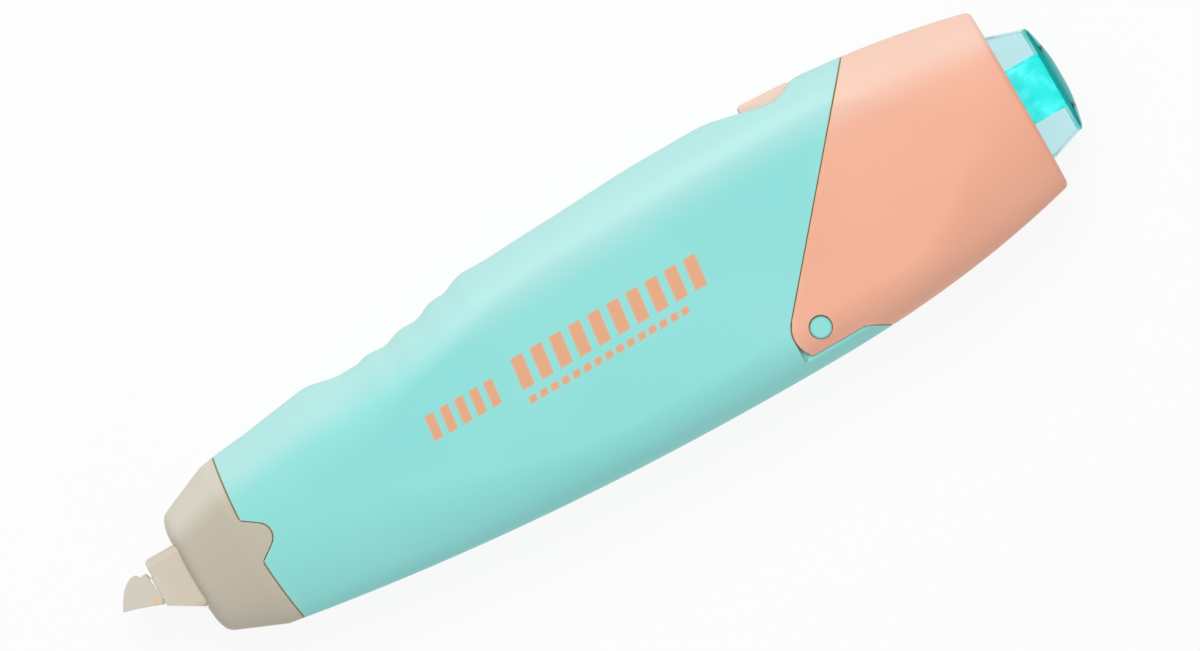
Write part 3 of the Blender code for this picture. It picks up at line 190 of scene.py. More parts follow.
def walled(outer, inner, faces):
    """Closed wall from an outer skin and an inner lining with the same faces: the lining is turned
    over, and every edge that only one face uses gets a quad from skin to lining."""
    outer, inner = outer.reshape(-1, 3), inner.reshape(-1, 3)
    count = len(outer)
    edges = faces[:, [[0, 1], [1, 2], [2, 3], [3, 0]]].reshape(-1, 2)
    key = np.sort(edges, axis=1)
    _, first, uses = np.unique(key, axis=0, return_index=True, return_counts=True)
    rim = edges[first[uses == 1]]
    rims = np.stack([rim[:, 1], rim[:, 0], rim[:, 0] + count, rim[:, 1] + count], axis=-1)
    quads = np.concatenate([faces, faces[:, ::-1] + count, rims])
    used, quads = np.unique(quads, return_inverse=True)
    return np.concatenate([outer, inner])[used], quads.reshape(-1, 4), used


def inset(outline, distance):
    """Closed outline moved inwards: each corner slides along the mitre of its two sides."""
    x, y = outline.T
    if np.sum(x * np.roll(y, -1) - y * np.roll(x, -1)) < 0:
        distance = -distance
    along = np.roll(outline, -1, axis=0) - outline
    along = along / np.linalg.norm(along, axis=1, keepdims=True)
    leaving = np.stack([-along[:, 1], along[:, 0]], axis=-1)
    coming = np.roll(leaving, 1, axis=0)
    opening = np.maximum(1 + np.sum(leaving * coming, axis=1, keepdims=True), 0.4)
    return outline + distance * (leaving + coming) / opening


def plate(outline, low, high, bevel=0.00015):
    """Flat piece: an outline in the u, y plane carried from one level to another, with its two
    rims rounded by a quarter circle and both ends capped inside a narrow level border."""
    outline = np.asarray(outline, float)
    turn = np.linspace(0, np.pi / 2, 4)
    depth = np.append(1.15 * bevel, bevel * (1 - np.sin(turn)))
    rise = np.append(0, bevel * (1 - np.cos(turn)))
    levels = np.concatenate([low + rise, (high - rise)[::-1]])
    rings = np.stack([inset(outline, d) for d in np.concatenate([depth, depth[::-1]])])
    rows, columns = rings.shape[:2]
    points = np.concatenate([rings, np.broadcast_to(levels[:, None, None], (rows, columns, 1))], axis=-1)
    index = np.arange(rows * columns).reshape(rows, columns)
    return points.reshape(-1, 3), grid_faces(rows, columns, wrap=True), [index[0][::-1], index[-1]]


def turned(centre, profile, steps=48):
    """Closed profile of (radius, level) points turned about an upright axis."""
    angle = np.linspace(0, 2 * np.pi, steps, endpoint=False)[:, None]
    radius, level = np.asarray(profile, float).T
    points = np.stack([centre[0] + radius * np.cos(angle), centre[1] + radius * np.sin(angle),
                       np.broadcast_to(level, (steps, len(level)))], axis=-1)
    return points.reshape(-1, 3), grid_faces(steps, len(radius), wrap=True, loop=True), []


def box_outline(u_range, y_range):
    """Four corners of an upright block."""
    (u0, u1), (y0, y1) = u_range, y_range
    return [(u0, y0), (u1, y0), (u1, y1), (u0, y1)]


def gather(*shapes):
    """Several closed bodies as one list of points, quads and caps."""
    starts = np.cumsum([0] + [len(shape[0]) for shape in shapes])
    quads = [shape[1] + start for shape, start in zip(shapes, starts)]
    caps = [cap + start for shape, start in zip(shapes, starts) for cap in shape[2]]
    return np.concatenate([shape[0] for shape in shapes]), np.concatenate(quads), caps


def in_place(shape, flip=False):
    """From the pen's own frame (tip at 0, parting plane at 0) to the object's; flip mirrors it down."""
    points = shape[0] * np.array([1, 1, -1 if flip else 1]) + np.array([-LENGTH / 2, 0, HALF_THICKNESS])
    return points, shape[1], shape[2]


def smooth_step(t):
    """Level at both ends: 3t^2 - 2t^3 with t held between 0 and 1."""
    t = np.clip(t, 0, 1)
    return t * t * (3 - 2 * t)


def soft_minimum(a, b, blend):
    """The smaller of two values, with the corner between them rounded over a blend."""
    mix = np.clip(0.5 + 0.5 * (b - a) / blend, 0, 1)
    return b * (1 - mix) + a * mix - blend * mix * (1 - mix)


def side_reach(u):
    """Half-width at station u: a power curve on each side of the widest place, a cone on the nose."""
    front_loss, rear_loss, nose_slope = 0.0053, 0.00425, 0.423
    back = np.maximum(u, KNUCKLE_AT)
    front = HALF_WIDTH - front_loss * (np.maximum(WIDEST_AT - back, 0) / (WIDEST_AT - SEAM_AT)) ** 2.15
    rear = rear_loss * (np.maximum(back - WIDEST_AT, 0) / (COVER_END - WIDEST_AT)) ** 2.3
    return front - rear - nose_slope * np.maximum(KNUCKLE_AT - u, 0)


def spine_reach(u):
    """Reach of the spine: the side curve, lowered by smooth steps on both sides of the grip, with a
    hollowed chord and a cosine of ribs in the grip itself."""
    low, length, pitch, rib_height = 0.0375, 0.0177, 0.0048, 0.0002
    dip, eased, hollow = 0.00167, 0.00025, 0.00062
    easing = smooth_step((u - 0.018) / 0.006) * (1 - smooth_step((u - 0.031) / 0.0065))
    easing = easing + smooth_step((u - low - length) / 0.004) * (1 - smooth_step((u - 0.068) / 0.012))
    plain = side_reach(u) - eased * easing
    ramp = plain - dip * smooth_step((u - low + 0.006) / 0.006)
    share = np.clip((u - low) / length, 0, 1)
    foot, head = side_reach(np.array(low)) - dip, side_reach(np.array(low + length))
    fade = np.minimum(1, 6 * np.minimum(share, 1 - share))
    rib = rib_height * np.cos(2 * np.pi * (u - low - length) / pitch) * smooth_step(fade)
    chord = foot + share * (head - foot) - hollow * 4 * share * (1 - share) + rib
    return np.where(u <= low, ramp, np.where(u >= low + length, plain, chord))


def half_thickness(u):
    """Half the thickness: level in the middle, a parabola towards each end, a cone on the nose."""
    level_from, level_to, rear_run = 0.038, 0.106, 0.018
    front_loss, rear_loss, nose_slope = 0.0016, 0.0015, 0.24
    back = np.maximum(u, KNUCKLE_AT)
    front = front_loss * (np.maximum(level_from - back, 0) / (level_from - SEAM_AT)) ** 2
    rear = rear_loss * (np.maximum(back - level_to, 0) / rear_run) ** 2
    return HALF_THICKNESS - front - rear - nose_slope * np.maximum(KNUCKLE_AT - u, 0)


def flat_half_width(u):
    """Half-width of the level part of the broad face, fading to a crown at both ends."""
    full_from, full_to, rear_run, full, least = 0.066, 0.102, 0.020, 0.0105, 0.0006
    front = smooth_step((u - SEAM_AT) / (full_from - SEAM_AT))
    rear = 1 - smooth_step((u - full_to) / rear_run)
    return np.maximum(full * front * rear, least)


def casing_surface(u, turn):
    """Point of the form at station u. turn goes 0 to 1 from the spine over the broad face to the
    underside (a straight side, an elliptical corner, a flat, and the same again), and 1 to 2 back
    over the other broad face."""
    flat, high = flat_half_width(u), half_thickness(u)
    straight = STRAIGHT_SIDE * high
    around = np.where(turn <= 1, turn, 2 - turn)
    half = np.where(around < 0.5, around, 1 - around)
    angle = np.pi / 2 * np.clip((half - SIDE_TURN) / CORNER_TURN, 0, 1)
    reach = np.where(around < 0.5, spine_reach(u), side_reach(u))
    y = flat * (1 - np.clip((half - FACE_TURN) / 0.10, 0, 1)) + (reach - flat) * np.cos(angle)
    z = straight * np.clip(half / SIDE_TURN, 0, 1) + (high - straight) * np.sin(angle)
    return np.stack([u + 0 * y, np.where(around < 0.5, y, -y), np.where(turn <= 1, z, -z)], axis=-1)


def casing_normal(u, turn):
    """Outward direction, from the cross product of two short steps on the surface."""
    step_u, step_t = 2e-5, 2e-4
    along = casing_surface(u + step_u, turn) - casing_surface(u - step_u, turn)
    around = casing_surface(u, (turn + step_t) % 2) - casing_surface(u, (turn - step_t) % 2)
    normal = np.cross(around, along)
    return normal / np.maximum(np.linalg.norm(normal, axis=-1, keepdims=True), 1e-12)


def front_seam(y, gap):
    """Station of the bowed front seam at height y: a parabola up to a limit, with the nose's snap tab
    let into the shell as a round crown on two straight flanks."""
    tab_radius, tab_reach, tab_foot, bow_depth, bow_limit = 0.0018, 0.00275, 0.00285, 0.0009, 0.00108
    bow = SEAM_AT + gap + np.minimum(bow_depth * (y / HALF_WIDTH * 1.5) ** 2, bow_limit)
    radius, middle = tab_radius + gap, SEAM_AT + tab_reach - tab_radius
    foot = tab_foot + gap
    away = math.atan2(foot, SEAM_AT + gap - middle)
    touch = away - math.acos(radius / math.hypot(foot, SEAM_AT + gap - middle))
    touch_u, touch_y = middle + radius * math.cos(touch), radius * math.sin(touch)
    height = np.abs(y)
    slope = (touch_u - SEAM_AT - gap) / (touch_y - foot)
    side = SEAM_AT + gap + (height - foot) * slope
    crown = middle + np.sqrt(np.maximum(radius ** 2 - height ** 2, 0))
    tab = np.where(height < touch_y, crown, side)
    return np.where(height < foot, np.maximum(tab, bow), bow)


def rear_seam(y, gap):
    """Station of the slanted rear seam at height y: a straight line, then the round hinge lug."""
    radius = LUG_RADIUS + gap
    tangent = SEAM_ANGLE + math.pi / 2
    start_u, start_y = PIN_AT + radius * math.cos(tangent), PIN_Y + radius * math.sin(tangent)
    line = start_u + (y - start_y) / math.tan(SEAM_ANGLE)
    lug = PIN_AT - np.sqrt(np.maximum(radius ** 2 - (y - PIN_Y) ** 2, 0))
    return np.where(y > start_y, line, lug)


def strip_end(y, gap):
    """Station of the slanted end of the side strip at height y: a straight line from its corner."""
    return STRIP_CORNER + np.maximum(STRIP_Y - y, 0) / math.tan(STRIP_SLOPE) - gap


def settle(seam, turn, gap, guess):
    """Station where each turn meets a seam, by stepping to the seam at the height reached."""
    u = np.full_like(turn, guess)
    for _ in range(40):
        u = 0.5 * u + 0.5 * seam(casing_surface(u, turn)[..., 1], gap)
    return u


def between(start, end, count):
    """Evenly spaced rows of stations from one edge to another, one column per turn, ends left out."""
    share = np.linspace(0, 1, count + 2)[1:-1, None]
    return start * (1 - share) + end * share


def lip_drop(distance):
    """How far a rounded lip falls away at a distance from its edge: a quarter circle."""
    inside = np.clip(1 - distance / LIP, 0, 1)
    return LIP * (1 - np.sqrt(np.maximum(1 - inside ** 2, 0)))


def saddle_height(u):
    """Upper limit of the spine in the thumb saddle: a ramp that runs into a round hollow."""
    middle_u, depth, radius, ramp, rear_run = 0.098, 0.00185, 0.0044, math.radians(13), 0.0038
    middle_y = HALF_WIDTH - depth + radius
    touch_u = middle_u - radius * math.sin(ramp)
    touch_y = middle_y - radius * math.cos(ramp)
    line = touch_y + (touch_u - u) * math.tan(ramp)
    hollow = middle_y - np.sqrt(np.maximum(radius ** 2 - (u - middle_u) ** 2, 0))
    return np.where(u < touch_u, line, np.where(u < middle_u + rear_run, hollow, 1.0))


def turn_at_level(level):
    """Turn on the spine side at which the middle stretch of the form reaches a level."""
    straight = STRAIGHT_SIDE * HALF_THICKNESS
    share = math.asin((level - straight) / (HALF_THICKNESS - straight))
    return SIDE_TURN + CORNER_TURN * 2 / math.pi * share


def lit_side_share(skin):
    """How much a point lies towards the spine, the side that the key lamp lights: a smooth rise over the
    outer part of the half-width, which paints that side paler as a painted highlight."""
    return smooth_step((skin[..., 1] / side_reach(skin[..., 0]) - 0.42) / 0.36)


LIP_ROWS = LIP * np.array([0, 0.08, 0.2, 0.4, 0.7, 1.0, 1.6])[:, None]
window_turn, ledge_turn = turn_at_level(WINDOW[2]), 1 - turn_at_level(LEDGE)
turns = np.unique(np.concatenate([
    [0.0006, 0.0010, 0.0017, 0.0029, 0.0049], np.linspace(0.011, SIDE_TURN, 8),
    np.linspace(SIDE_TURN, FACE_TURN, 52), np.linspace(FACE_TURN, 0.60, 34), np.linspace(0.60, 0.92, 52),
    np.linspace(0.92, 0.989, 8),
    [0.9951, 0.9971, 0.9983, 0.9990, 0.9994], [window_turn, ledge_turn]]))


def body_shell():
    """One mint shell: rows of stations from the front seam to the rear seam over all turns, then
    more rows for the low turns of the side strip; skin and lining are a wall apart along the normal."""
    front = settle(front_seam, turns, SEAM, 0.018)
    rear = settle(rear_seam, turns, SEAM, 0.095)
    rear = np.where(casing_surface(np.full_like(turns, STEP_AT), turns)[:, 1] < PIN_Y, STEP_AT, rear)
    end = settle(strip_end, turns, 0, 0.096)
    low = turns >= ledge_turn
    knee_at, spine_turn = 0.084, 0.3
    knee = np.full_like(turns, knee_at)
    spine = turns < spine_turn
    window_front = np.where(spine, WINDOW[0], knee + 0.40 * (rear - knee))
    window_rear = np.where(spine, WINDOW[1], knee + 0.72 * (rear - knee))
    main = [front + LIP_ROWS, between(front + LIP_ROWS[-1], knee, 104), knee[None],
            between(knee, window_front, 8), window_front[None],
            between(window_front, window_rear, 14), window_rear[None],
            between(window_rear, rear - LIP_ROWS[-1], 8), (rear - LIP_ROWS)[::-1]]
    first_window, last_window = sum(len(m) for m in main[:4]), sum(len(m) for m in main[:6])
    main = np.concatenate(main)
    strip_last = np.where(low, end, rear)
    strip = np.concatenate([between(rear, strip_last - LIP_ROWS[-1], 24), (strip_last - LIP_ROWS)[::-1]])
    u = np.concatenate([main, np.where(low, strip, rear)])
    turn = np.broadcast_to(turns, u.shape)
    skin, normal = casing_surface(u, turn), casing_normal(u, turn)
    behind = np.arange(len(u))[:, None] >= len(main)
    rim = np.minimum(u - front, strip_last - u)
    edge = np.minimum(rim, skin[..., 2] - SEAM / 2)
    edge = np.where(behind & low, np.minimum(edge, LEDGE - skin[..., 2]), edge)
    beside = np.maximum(np.maximum(WINDOW[0] - u, u - WINDOW[1]), skin[..., 2] - WINDOW[2])
    edge = np.maximum(np.where(spine, np.minimum(edge, np.maximum(beside, 0)), edge), 0)
    outer = skin - normal * lip_drop(edge)[..., None]
    limit = saddle_height(u)
    outer[..., 1] = soft_minimum(outer[..., 1], limit, 0.0003)
    inner = skin - normal * WALL
    inner[..., 1] = np.minimum(inner[..., 1], limit - WALL)
    inner[..., 2] = np.maximum(inner[..., 2], SEAM / 2)
    ledge_column = int(np.argmin(np.abs(turns - ledge_turn)))
    inner[len(main):, ledge_column, 0] = np.minimum(u[len(main):, ledge_column], STRIP_CORNER - 2 * GAP)
    inner[len(main):, ledge_column, 1:] = (STRIP_Y + GAP, LEDGE - 0.00005)
    rows, columns = u.shape
    faces = grid_faces(rows, columns)
    row, column = np.divmod(faces[:, 0], columns)
    in_window = (row >= first_window) & (row < last_window) & (turns[column] < window_turn - 1e-9)
    in_strip = (row >= len(main) - 1) & (turns[column] < ledge_turn - 1e-9)
    points, quads, used = walled(outer, inner, faces[~in_window & ~in_strip])
    lining = np.zeros(u.size)
    # Marks: the edge mark drives rubbed wear and the painted shade at the seam rims, and the second mark lays
    # a painted highlight over the lit spine side.
    worn_and_painted_light = np.concatenate([np.exp(-np.maximum(rim, 0).ravel() / EDGE_MARK_REACH), lining])[used]
    lit_paling = np.concatenate([lit_side_share(skin).ravel(), lining])[used]
    return (points, quads, []), dict(edge=worn_and_painted_light, lit_paling=lit_paling)


def ring_arc(centre, radius, start, end, steps):
    """Points on an arc in the u, y plane, angles in degrees."""
    angle = np.radians(np.linspace(start, end, steps))
    return np.stack([centre[0] + radius * np.cos(angle), centre[1] + radius * np.sin(angle)], axis=-1)


ear_radius, ear_foot, ear_root = LUG_RADIUS - GAP, -0.0146, STEP_AT - 0.0002
ear_outline = np.concatenate([[(ear_root, ear_foot), (PIN_AT + ear_radius, ear_foot)],
                              ring_arc((PIN_AT, PIN_Y), ear_radius, 0, 90, 12),
                              [(ear_root, PIN_Y + ear_radius)]])
tongue_y, tongue_root, tongue_reach = (-0.0021, 0.0095), 0.0024, 0.0040
tongue_start = rear_seam(np.array(tongue_y), 0)
tongue_outline = [(tongue_start[0] - tongue_root, tongue_y[0]), (tongue_start[0] + tongue_reach, tongue_y[0]),
                  (tongue_start[1] + tongue_reach, tongue_y[1]), (tongue_start[1] - tongue_root, tongue_y[1])]
boss_profile = [(0.0, 0.0050), (BOSS_RADIUS, 0.0050), (BOSS_RADIUS, 0.0080), (BOSS_RADIUS - 0.0002, 0.0082),
                (0.0, 0.0082)]
post_profile = [(0.00095, 0.0038), (0.0018, 0.0038), (0.0018, 0.0068), (0.0, 0.0068), (0.0, 0.0058),
                (0.00095, 0.0058)]
peg_posts = [turned((u, y), [(0.00081, 0.0001), (PEG_RADIUS, 0.0001), (PEG_RADIUS, top), (0.0, top),
                             (0.0, 0.0021), (0.00081, 0.0021)], 20)
             for u, y, top in ((0.0286, -0.00829, 0.0052), (0.0555, -0.01260, 0.0058),
                               (0.0817, 0.01384, 0.0052))]
shell_wall, shell_marks = body_shell()
shell_fittings = [plate(ear_outline, 0.0046, 0.0066), turned((PIN_AT, PIN_Y), boss_profile),
                  plate(tongue_outline, 0.0058, 0.0070), turned((ROCKER_AT, ROCKER_Y), post_profile, 24)]
shell_fittings += peg_posts
rails = [plate(box_outline((0.051, 0.0786), sorted((side * 0.0065, side * 0.0075))), 0.0049, 0.0069)
         for side in (1, -1)]
bracket = plate(box_outline((0.09565, 0.09915), (0.0055, 0.0067)), -0.00175, 0.0069)


def linear(*display):
    """Display colour (0 to 255) as the linear colour that a shader takes."""
    return tuple(((c / 255 + 0.055) / 1.055) ** 2.4 for c in display) + (1,)


def new_finish(name):
    """Fresh material: itself, its node tree, its shader and the piece's own coordinates."""
    material = bpy.data.materials.new(name)
    material.use_nodes = True
    tree = material.node_tree
    place = tree.nodes.new("ShaderNodeTexCoord").outputs["Object"]
    return material, tree, tree.nodes["Principled BSDF"], place


def shader_group(name, inputs, outputs):
    """Empty node group with named sockets; returns its tree and its inner ends."""
    tree = bpy.data.node_groups.new(name, "ShaderNodeTree")
    for socket, kind in inputs:
        tree.interface.new_socket(socket, in_out="INPUT", socket_type="NodeSocket" + kind)
    for socket, kind in outputs:
        tree.interface.new_socket(socket, in_out="OUTPUT", socket_type="NodeSocket" + kind)
    return tree, tree.nodes.new("NodeGroupInput").outputs, tree.nodes.new("NodeGroupOutput").inputs


def ramp(tree, value, low, high, bottom=0.0, top=1.0):
    """Smooth rise from bottom to top while a value goes from low to high."""
    node = tree.nodes.new("ShaderNodeMapRange")
    node.interpolation_type = "SMOOTHSTEP"
    for socket, number in zip(node.inputs, (value, low, high, bottom, top)):
        feed(tree, socket, number)
    return node.outputs[0]


def noise(tree, place, scale, detail=2.0):
    """Noise of a given number of cells per metre."""
    node = tree.nodes.new("ShaderNodeTexNoise")
    feed(tree, node.inputs["Vector"], place)
    node.inputs["Scale"].default_value = scale
    node.inputs["Detail"].default_value = detail
    return node.outputs["Fac"]


def blend_colour(tree, share, first, second):
    """First colour turning into the second by a share."""
    node = tree.nodes.new("ShaderNodeMix")
    node.data_type = "RGBA"
    feed(tree, node.inputs[0], share)
    feed(tree, node.inputs[6], first)
    feed(tree, node.inputs[7], second)
    return node.outputs[2]


grain, taken, given = shader_group(
    "moulded_grain", [("Place", "Vector"), ("Gloss", "Float"), ("Colour", "Color")],
    [("Colour", "Color"), ("Roughness", "Float"), ("Height", "Float")])
flow = noise(grain, taken["Place"], 45)
fine = noise(grain, taken["Place"], 5200)
paler = grain.nodes.new("ShaderNodeHueSaturation")
feed(grain, paler.inputs["Color"], taken["Colour"])
feed(grain, paler.inputs["Value"], ramp(grain, flow, 0.3, 0.7, 0.985, 1.015))
feed(grain, paler.inputs["Saturation"], ramp(grain, flow, 0.3, 0.7, 1.03, 0.97))
uneven = maths(grain, "ADD", ramp(grain, flow, 0.3, 0.7, -0.025, 0.025),
               ramp(grain, fine, 0.3, 0.7, -0.03, 0.03))
feed(grain, given["Colour"], paler.outputs[0])
feed(grain, given["Roughness"], maths(grain, "ADD", taken["Gloss"], uneven))
feed(grain, given["Height"], fine)

wear_and_light, taken, given = shader_group(
    "edge_wear_and_painted_light", [("Place", "Vector"), ("Edge", "Float"), ("Held", "Float"), ("Amount", "Float"),
                  ("Colour", "Color"), ("Worn", "Color"), ("Grime", "Color")], [("Colour", "Color")])
# Rubbed rims turn to the pale colour where the edge mark meets a patchy noise; the same pale colour is laid
# over the lit spine side as a painted highlight.
patchy = ramp(wear_and_light, noise(wear_and_light, taken["Place"], 700, 3), 0.35, 0.7)
marking = maths(wear_and_light, "MULTIPLY", maths(wear_and_light, "MULTIPLY", taken["Edge"], patchy), taken["Amount"])
wear_and_highlight_share = maths(wear_and_light, "MAXIMUM", marking, maths(wear_and_light, "MULTIPLY", taken["Held"], 0.75))
brighter = blend_colour(wear_and_light, wear_and_highlight_share, taken["Colour"], taken["Worn"])
# At the very rim of each seam the colour turns to the seam colour, partly dirt and partly painted shade in
# the gap between parts.
feed(wear_and_light, given["Colour"], blend_colour(wear_and_light, ramp(wear_and_light, taken["Edge"], 0.64, 0.92, 0.0, 0.9), brighter,
                                         taken["Grime"]))

specks, taken, given = shader_group(
    "stray_specks", [("Place", "Vector"), ("Amount", "Float"), ("Colour", "Color")], [("Colour", "Color")])
dots = specks.nodes.new("ShaderNodeTexVoronoi")
feed(specks, dots.inputs["Vector"], taken["Place"])
dots.inputs["Scale"].default_value = 95
dot = ramp(specks, dots.outputs["Distance"], 0.012, 0.03, 1.0, 0.0)
chosen = specks.nodes.new("ShaderNodeSeparateColor")
feed(specks, chosen.inputs[0], dots.outputs["Color"])
dark = maths(specks, "MULTIPLY", dot, ramp(specks, chosen.outputs[0], 0.80, 0.82))
feed(specks, given["Colour"], blend_colour(specks, maths(specks, "MULTIPLY", dark, taken["Amount"]),
                                           taken["Colour"], linear(96, 84, 76)))


def use_group(tree, group, **values):
    """Place a group in a material and feed its named inputs."""
    node = tree.nodes.new("ShaderNodeGroup")
    node.node_tree = group
    for name, value in values.items():
        feed(tree, node.inputs[name], value)
    return node.outputs


def raise_skin(tree, shader, height, strength, distance):
    """Fine relief: a height over the surface that tilts the shader's normal."""
    bump = tree.nodes.new("ShaderNodeBump")
    bump.inputs["Strength"].default_value = strength
    bump.inputs["Distance"].default_value = distance
    feed(tree, bump.inputs["Height"], height)
    feed(tree, shader.inputs["Normal"], bump.outputs[0])


# The seam colour darkens the very rims of seams: partly dirt, partly painted shade in the gap between parts.
def plastic(name, colour, gloss, worn_and_painted_light, amount=0.35, seam_dirt_and_shade=linear(164, 152, 98), mark=None, ink=None):
    """Satin moulded plastic: grain, rubbed rims, a painted highlight that pales the lit spine side, seam
    rims tinted partly as dirt and partly as painted shade, a few specks, and a print where a mask is given.
    """
    material, tree, shader, place = new_finish(name)
    rim, lit_paling = (tree.nodes.new("ShaderNodeAttribute") for _ in range(2))
    rim.attribute_name, lit_paling.attribute_name = "edge", "lit_paling"
    skin = use_group(tree, grain, Place=place, Gloss=gloss, Colour=colour)
    marking = use_group(tree, wear_and_light, Place=place, Edge=rim.outputs["Fac"], Held=lit_paling.outputs["Fac"],
                       Amount=amount, Colour=skin["Colour"], Worn=worn_and_painted_light, Grime=seam_dirt_and_shade)
    tint = use_group(tree, specks, Place=place, Amount=0.6, Colour=marking["Colour"])["Colour"]
    if mark:
        tint = blend_colour(tree, mark(tree, place), tint, ink)
    feed(tree, shader.inputs["Base Color"], tint)
    feed(tree, shader.inputs["Roughness"], skin["Roughness"])
    raise_skin(tree, shader, skin["Height"], 0.10, 0.00004)
    return material


def bar_print(tree, place):
    """Mask of a plain printed band: a row of slanted bars, a row of shorter ones before it and a row
    of small dashes below, on the upper broad face only."""
    parts = tree.nodes.new("ShaderNodeSeparateXYZ")
    feed(tree, parts.inputs[0], place)
    along = maths(tree, "SUBTRACT", parts.outputs[0], maths(tree, "MULTIPLY", parts.outputs[1], 0.12))
    rows, soft = [], 0.00016
    for start, end, low, high, pitch, share in ((-0.0105, 0.0160, -0.0006, 0.0034, 0.00265, 0.62),
                                                (-0.0226, -0.0125, -0.0006, 0.0026, 0.00202, 0.60),
                                                (-0.0100, 0.0125, -0.0025, -0.0016, 0.00150, 0.66)):
        phase = maths(tree, "FRACT", maths(tree, "DIVIDE", maths(tree, "SUBTRACT", along, start), pitch))
        off = maths(tree, "ABSOLUTE", maths(tree, "SUBTRACT", phase, 0.5))
        bar = ramp(tree, off, share / 2 - soft / pitch, share / 2 + soft / pitch, 1.0, 0.0)
        ends = maths(tree, "MULTIPLY", ramp(tree, along, start, start + 0.0001),
                     ramp(tree, along, end - 0.0001, end, 1.0, 0.0))
        tall = maths(tree, "MULTIPLY", ramp(tree, parts.outputs[1], low - soft, low + soft),
                     ramp(tree, parts.outputs[1], high - soft, high + soft, 1.0, 0.0))
        rows.append(maths(tree, "MULTIPLY", maths(tree, "MULTIPLY", bar, ends), tall))
    mask = maths(tree, "MAXIMUM", maths(tree, "MAXIMUM", rows[0], rows[1]), rows[2])
    upper = ramp(tree, parts.outputs[2], 0.0160, 0.0164)
    return maths(tree, "MULTIPLY", maths(tree, "MULTIPLY", mask, upper), 0.9)


# The pale mint is the colour of rubbed rims and also a painted highlight laid over the lit spine side.
MINT, PALE_MINT = linear(143, 225, 219), linear(190, 234, 230)
mint = plastic("mint_plastic", MINT, 0.50, PALE_MINT)
mint_printed = plastic("mint_plastic_printed", MINT, 0.50, PALE_MINT, mark=bar_print,
                       ink=linear(238, 160, 110))
upper_shell = put_mesh("mint_shell_upper", in_place(gather(shell_wall, *shell_fittings, *rails)),
                       mint_printed, **shell_marks)
lower_shell = put_mesh("mint_shell_lower",
                       in_place(gather(shell_wall, *shell_fittings, bracket), flip=True), mint, **shell_marks)
for shell, node in ((upper_shell, "body_shell_upper"), (lower_shell, "body_shell_lower")):
    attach(shell, "casing")
    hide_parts(node)


# Nose cone. A cream moulded ring that tapers to the tip, pushed into the front of the casing on a
# spigot, with a rounded snap tab on each broad face and a squarish hole for the sleeve.
def round_rectangle(angle, half_width, half_height, radius):
    """Distance from the middle of a rounded rectangle to its edge in a direction: the nearer of the
    two sides, or the corner circle where the ray passes it."""
    c, s = np.abs(np.cos(angle)) + 1e-9, np.abs(np.sin(angle)) + 1e-9
    to_side, to_top = half_width / c, half_height / s
    middle = (half_width - radius, half_height - radius)
    along = c * middle[0] + s * middle[1]
    corner = along + np.sqrt(np.maximum(along ** 2 - middle[0] ** 2 - middle[1] ** 2 + radius ** 2, 0))
    nearest = np.where(to_side * s <= middle[1], to_side, corner)
    return np.where(to_top * c <= middle[0], to_top, nearest)


def across(u, y, z):
    """Stack stations, heights and levels of the same shape into points."""
    u, y, z = np.broadcast_arrays(u, y, z)
    return np.stack([u, y, z], axis=-1)


def through(knots, steps):
    """Catmull-Rom curve through knots: cubic stretches whose slopes follow the neighbours."""
    knots = np.asarray(knots, float)
    ends = np.concatenate([[2 * knots[0] - knots[1]], knots, [2 * knots[-1] - knots[-2]]])
    t = np.linspace(0, 1, steps, endpoint=False)[None, :, None]
    a, b, c, d = (ends[i:i + len(knots) - 1, None] for i in range(4))
    curve = 0.5 * (2 * b + (c - a) * t + (2 * a - 5 * b + 4 * c - d) * t ** 2
                   + (3 * b - a - 3 * c + d) * t ** 3)
    return np.concatenate([curve.reshape(-1, knots.shape[1]), knots[-1:]])


SLEEVE_MIDDLE, SLEEVE_HALF, SLEEVE_HIGH = 0.00018, 0.00422, 0.0039
quarter = np.concatenate([np.linspace(0, SIDE_TURN, 6), np.linspace(SIDE_TURN, FACE_TURN, 40)[1:],
                          np.linspace(FACE_TURN, 0.5, 12)[1:]])
half_ring = np.concatenate([quarter, 1 - quarter[-2::-1]])
ring_turns = np.concatenate([half_ring, 2 - half_ring[-2:0:-1]])


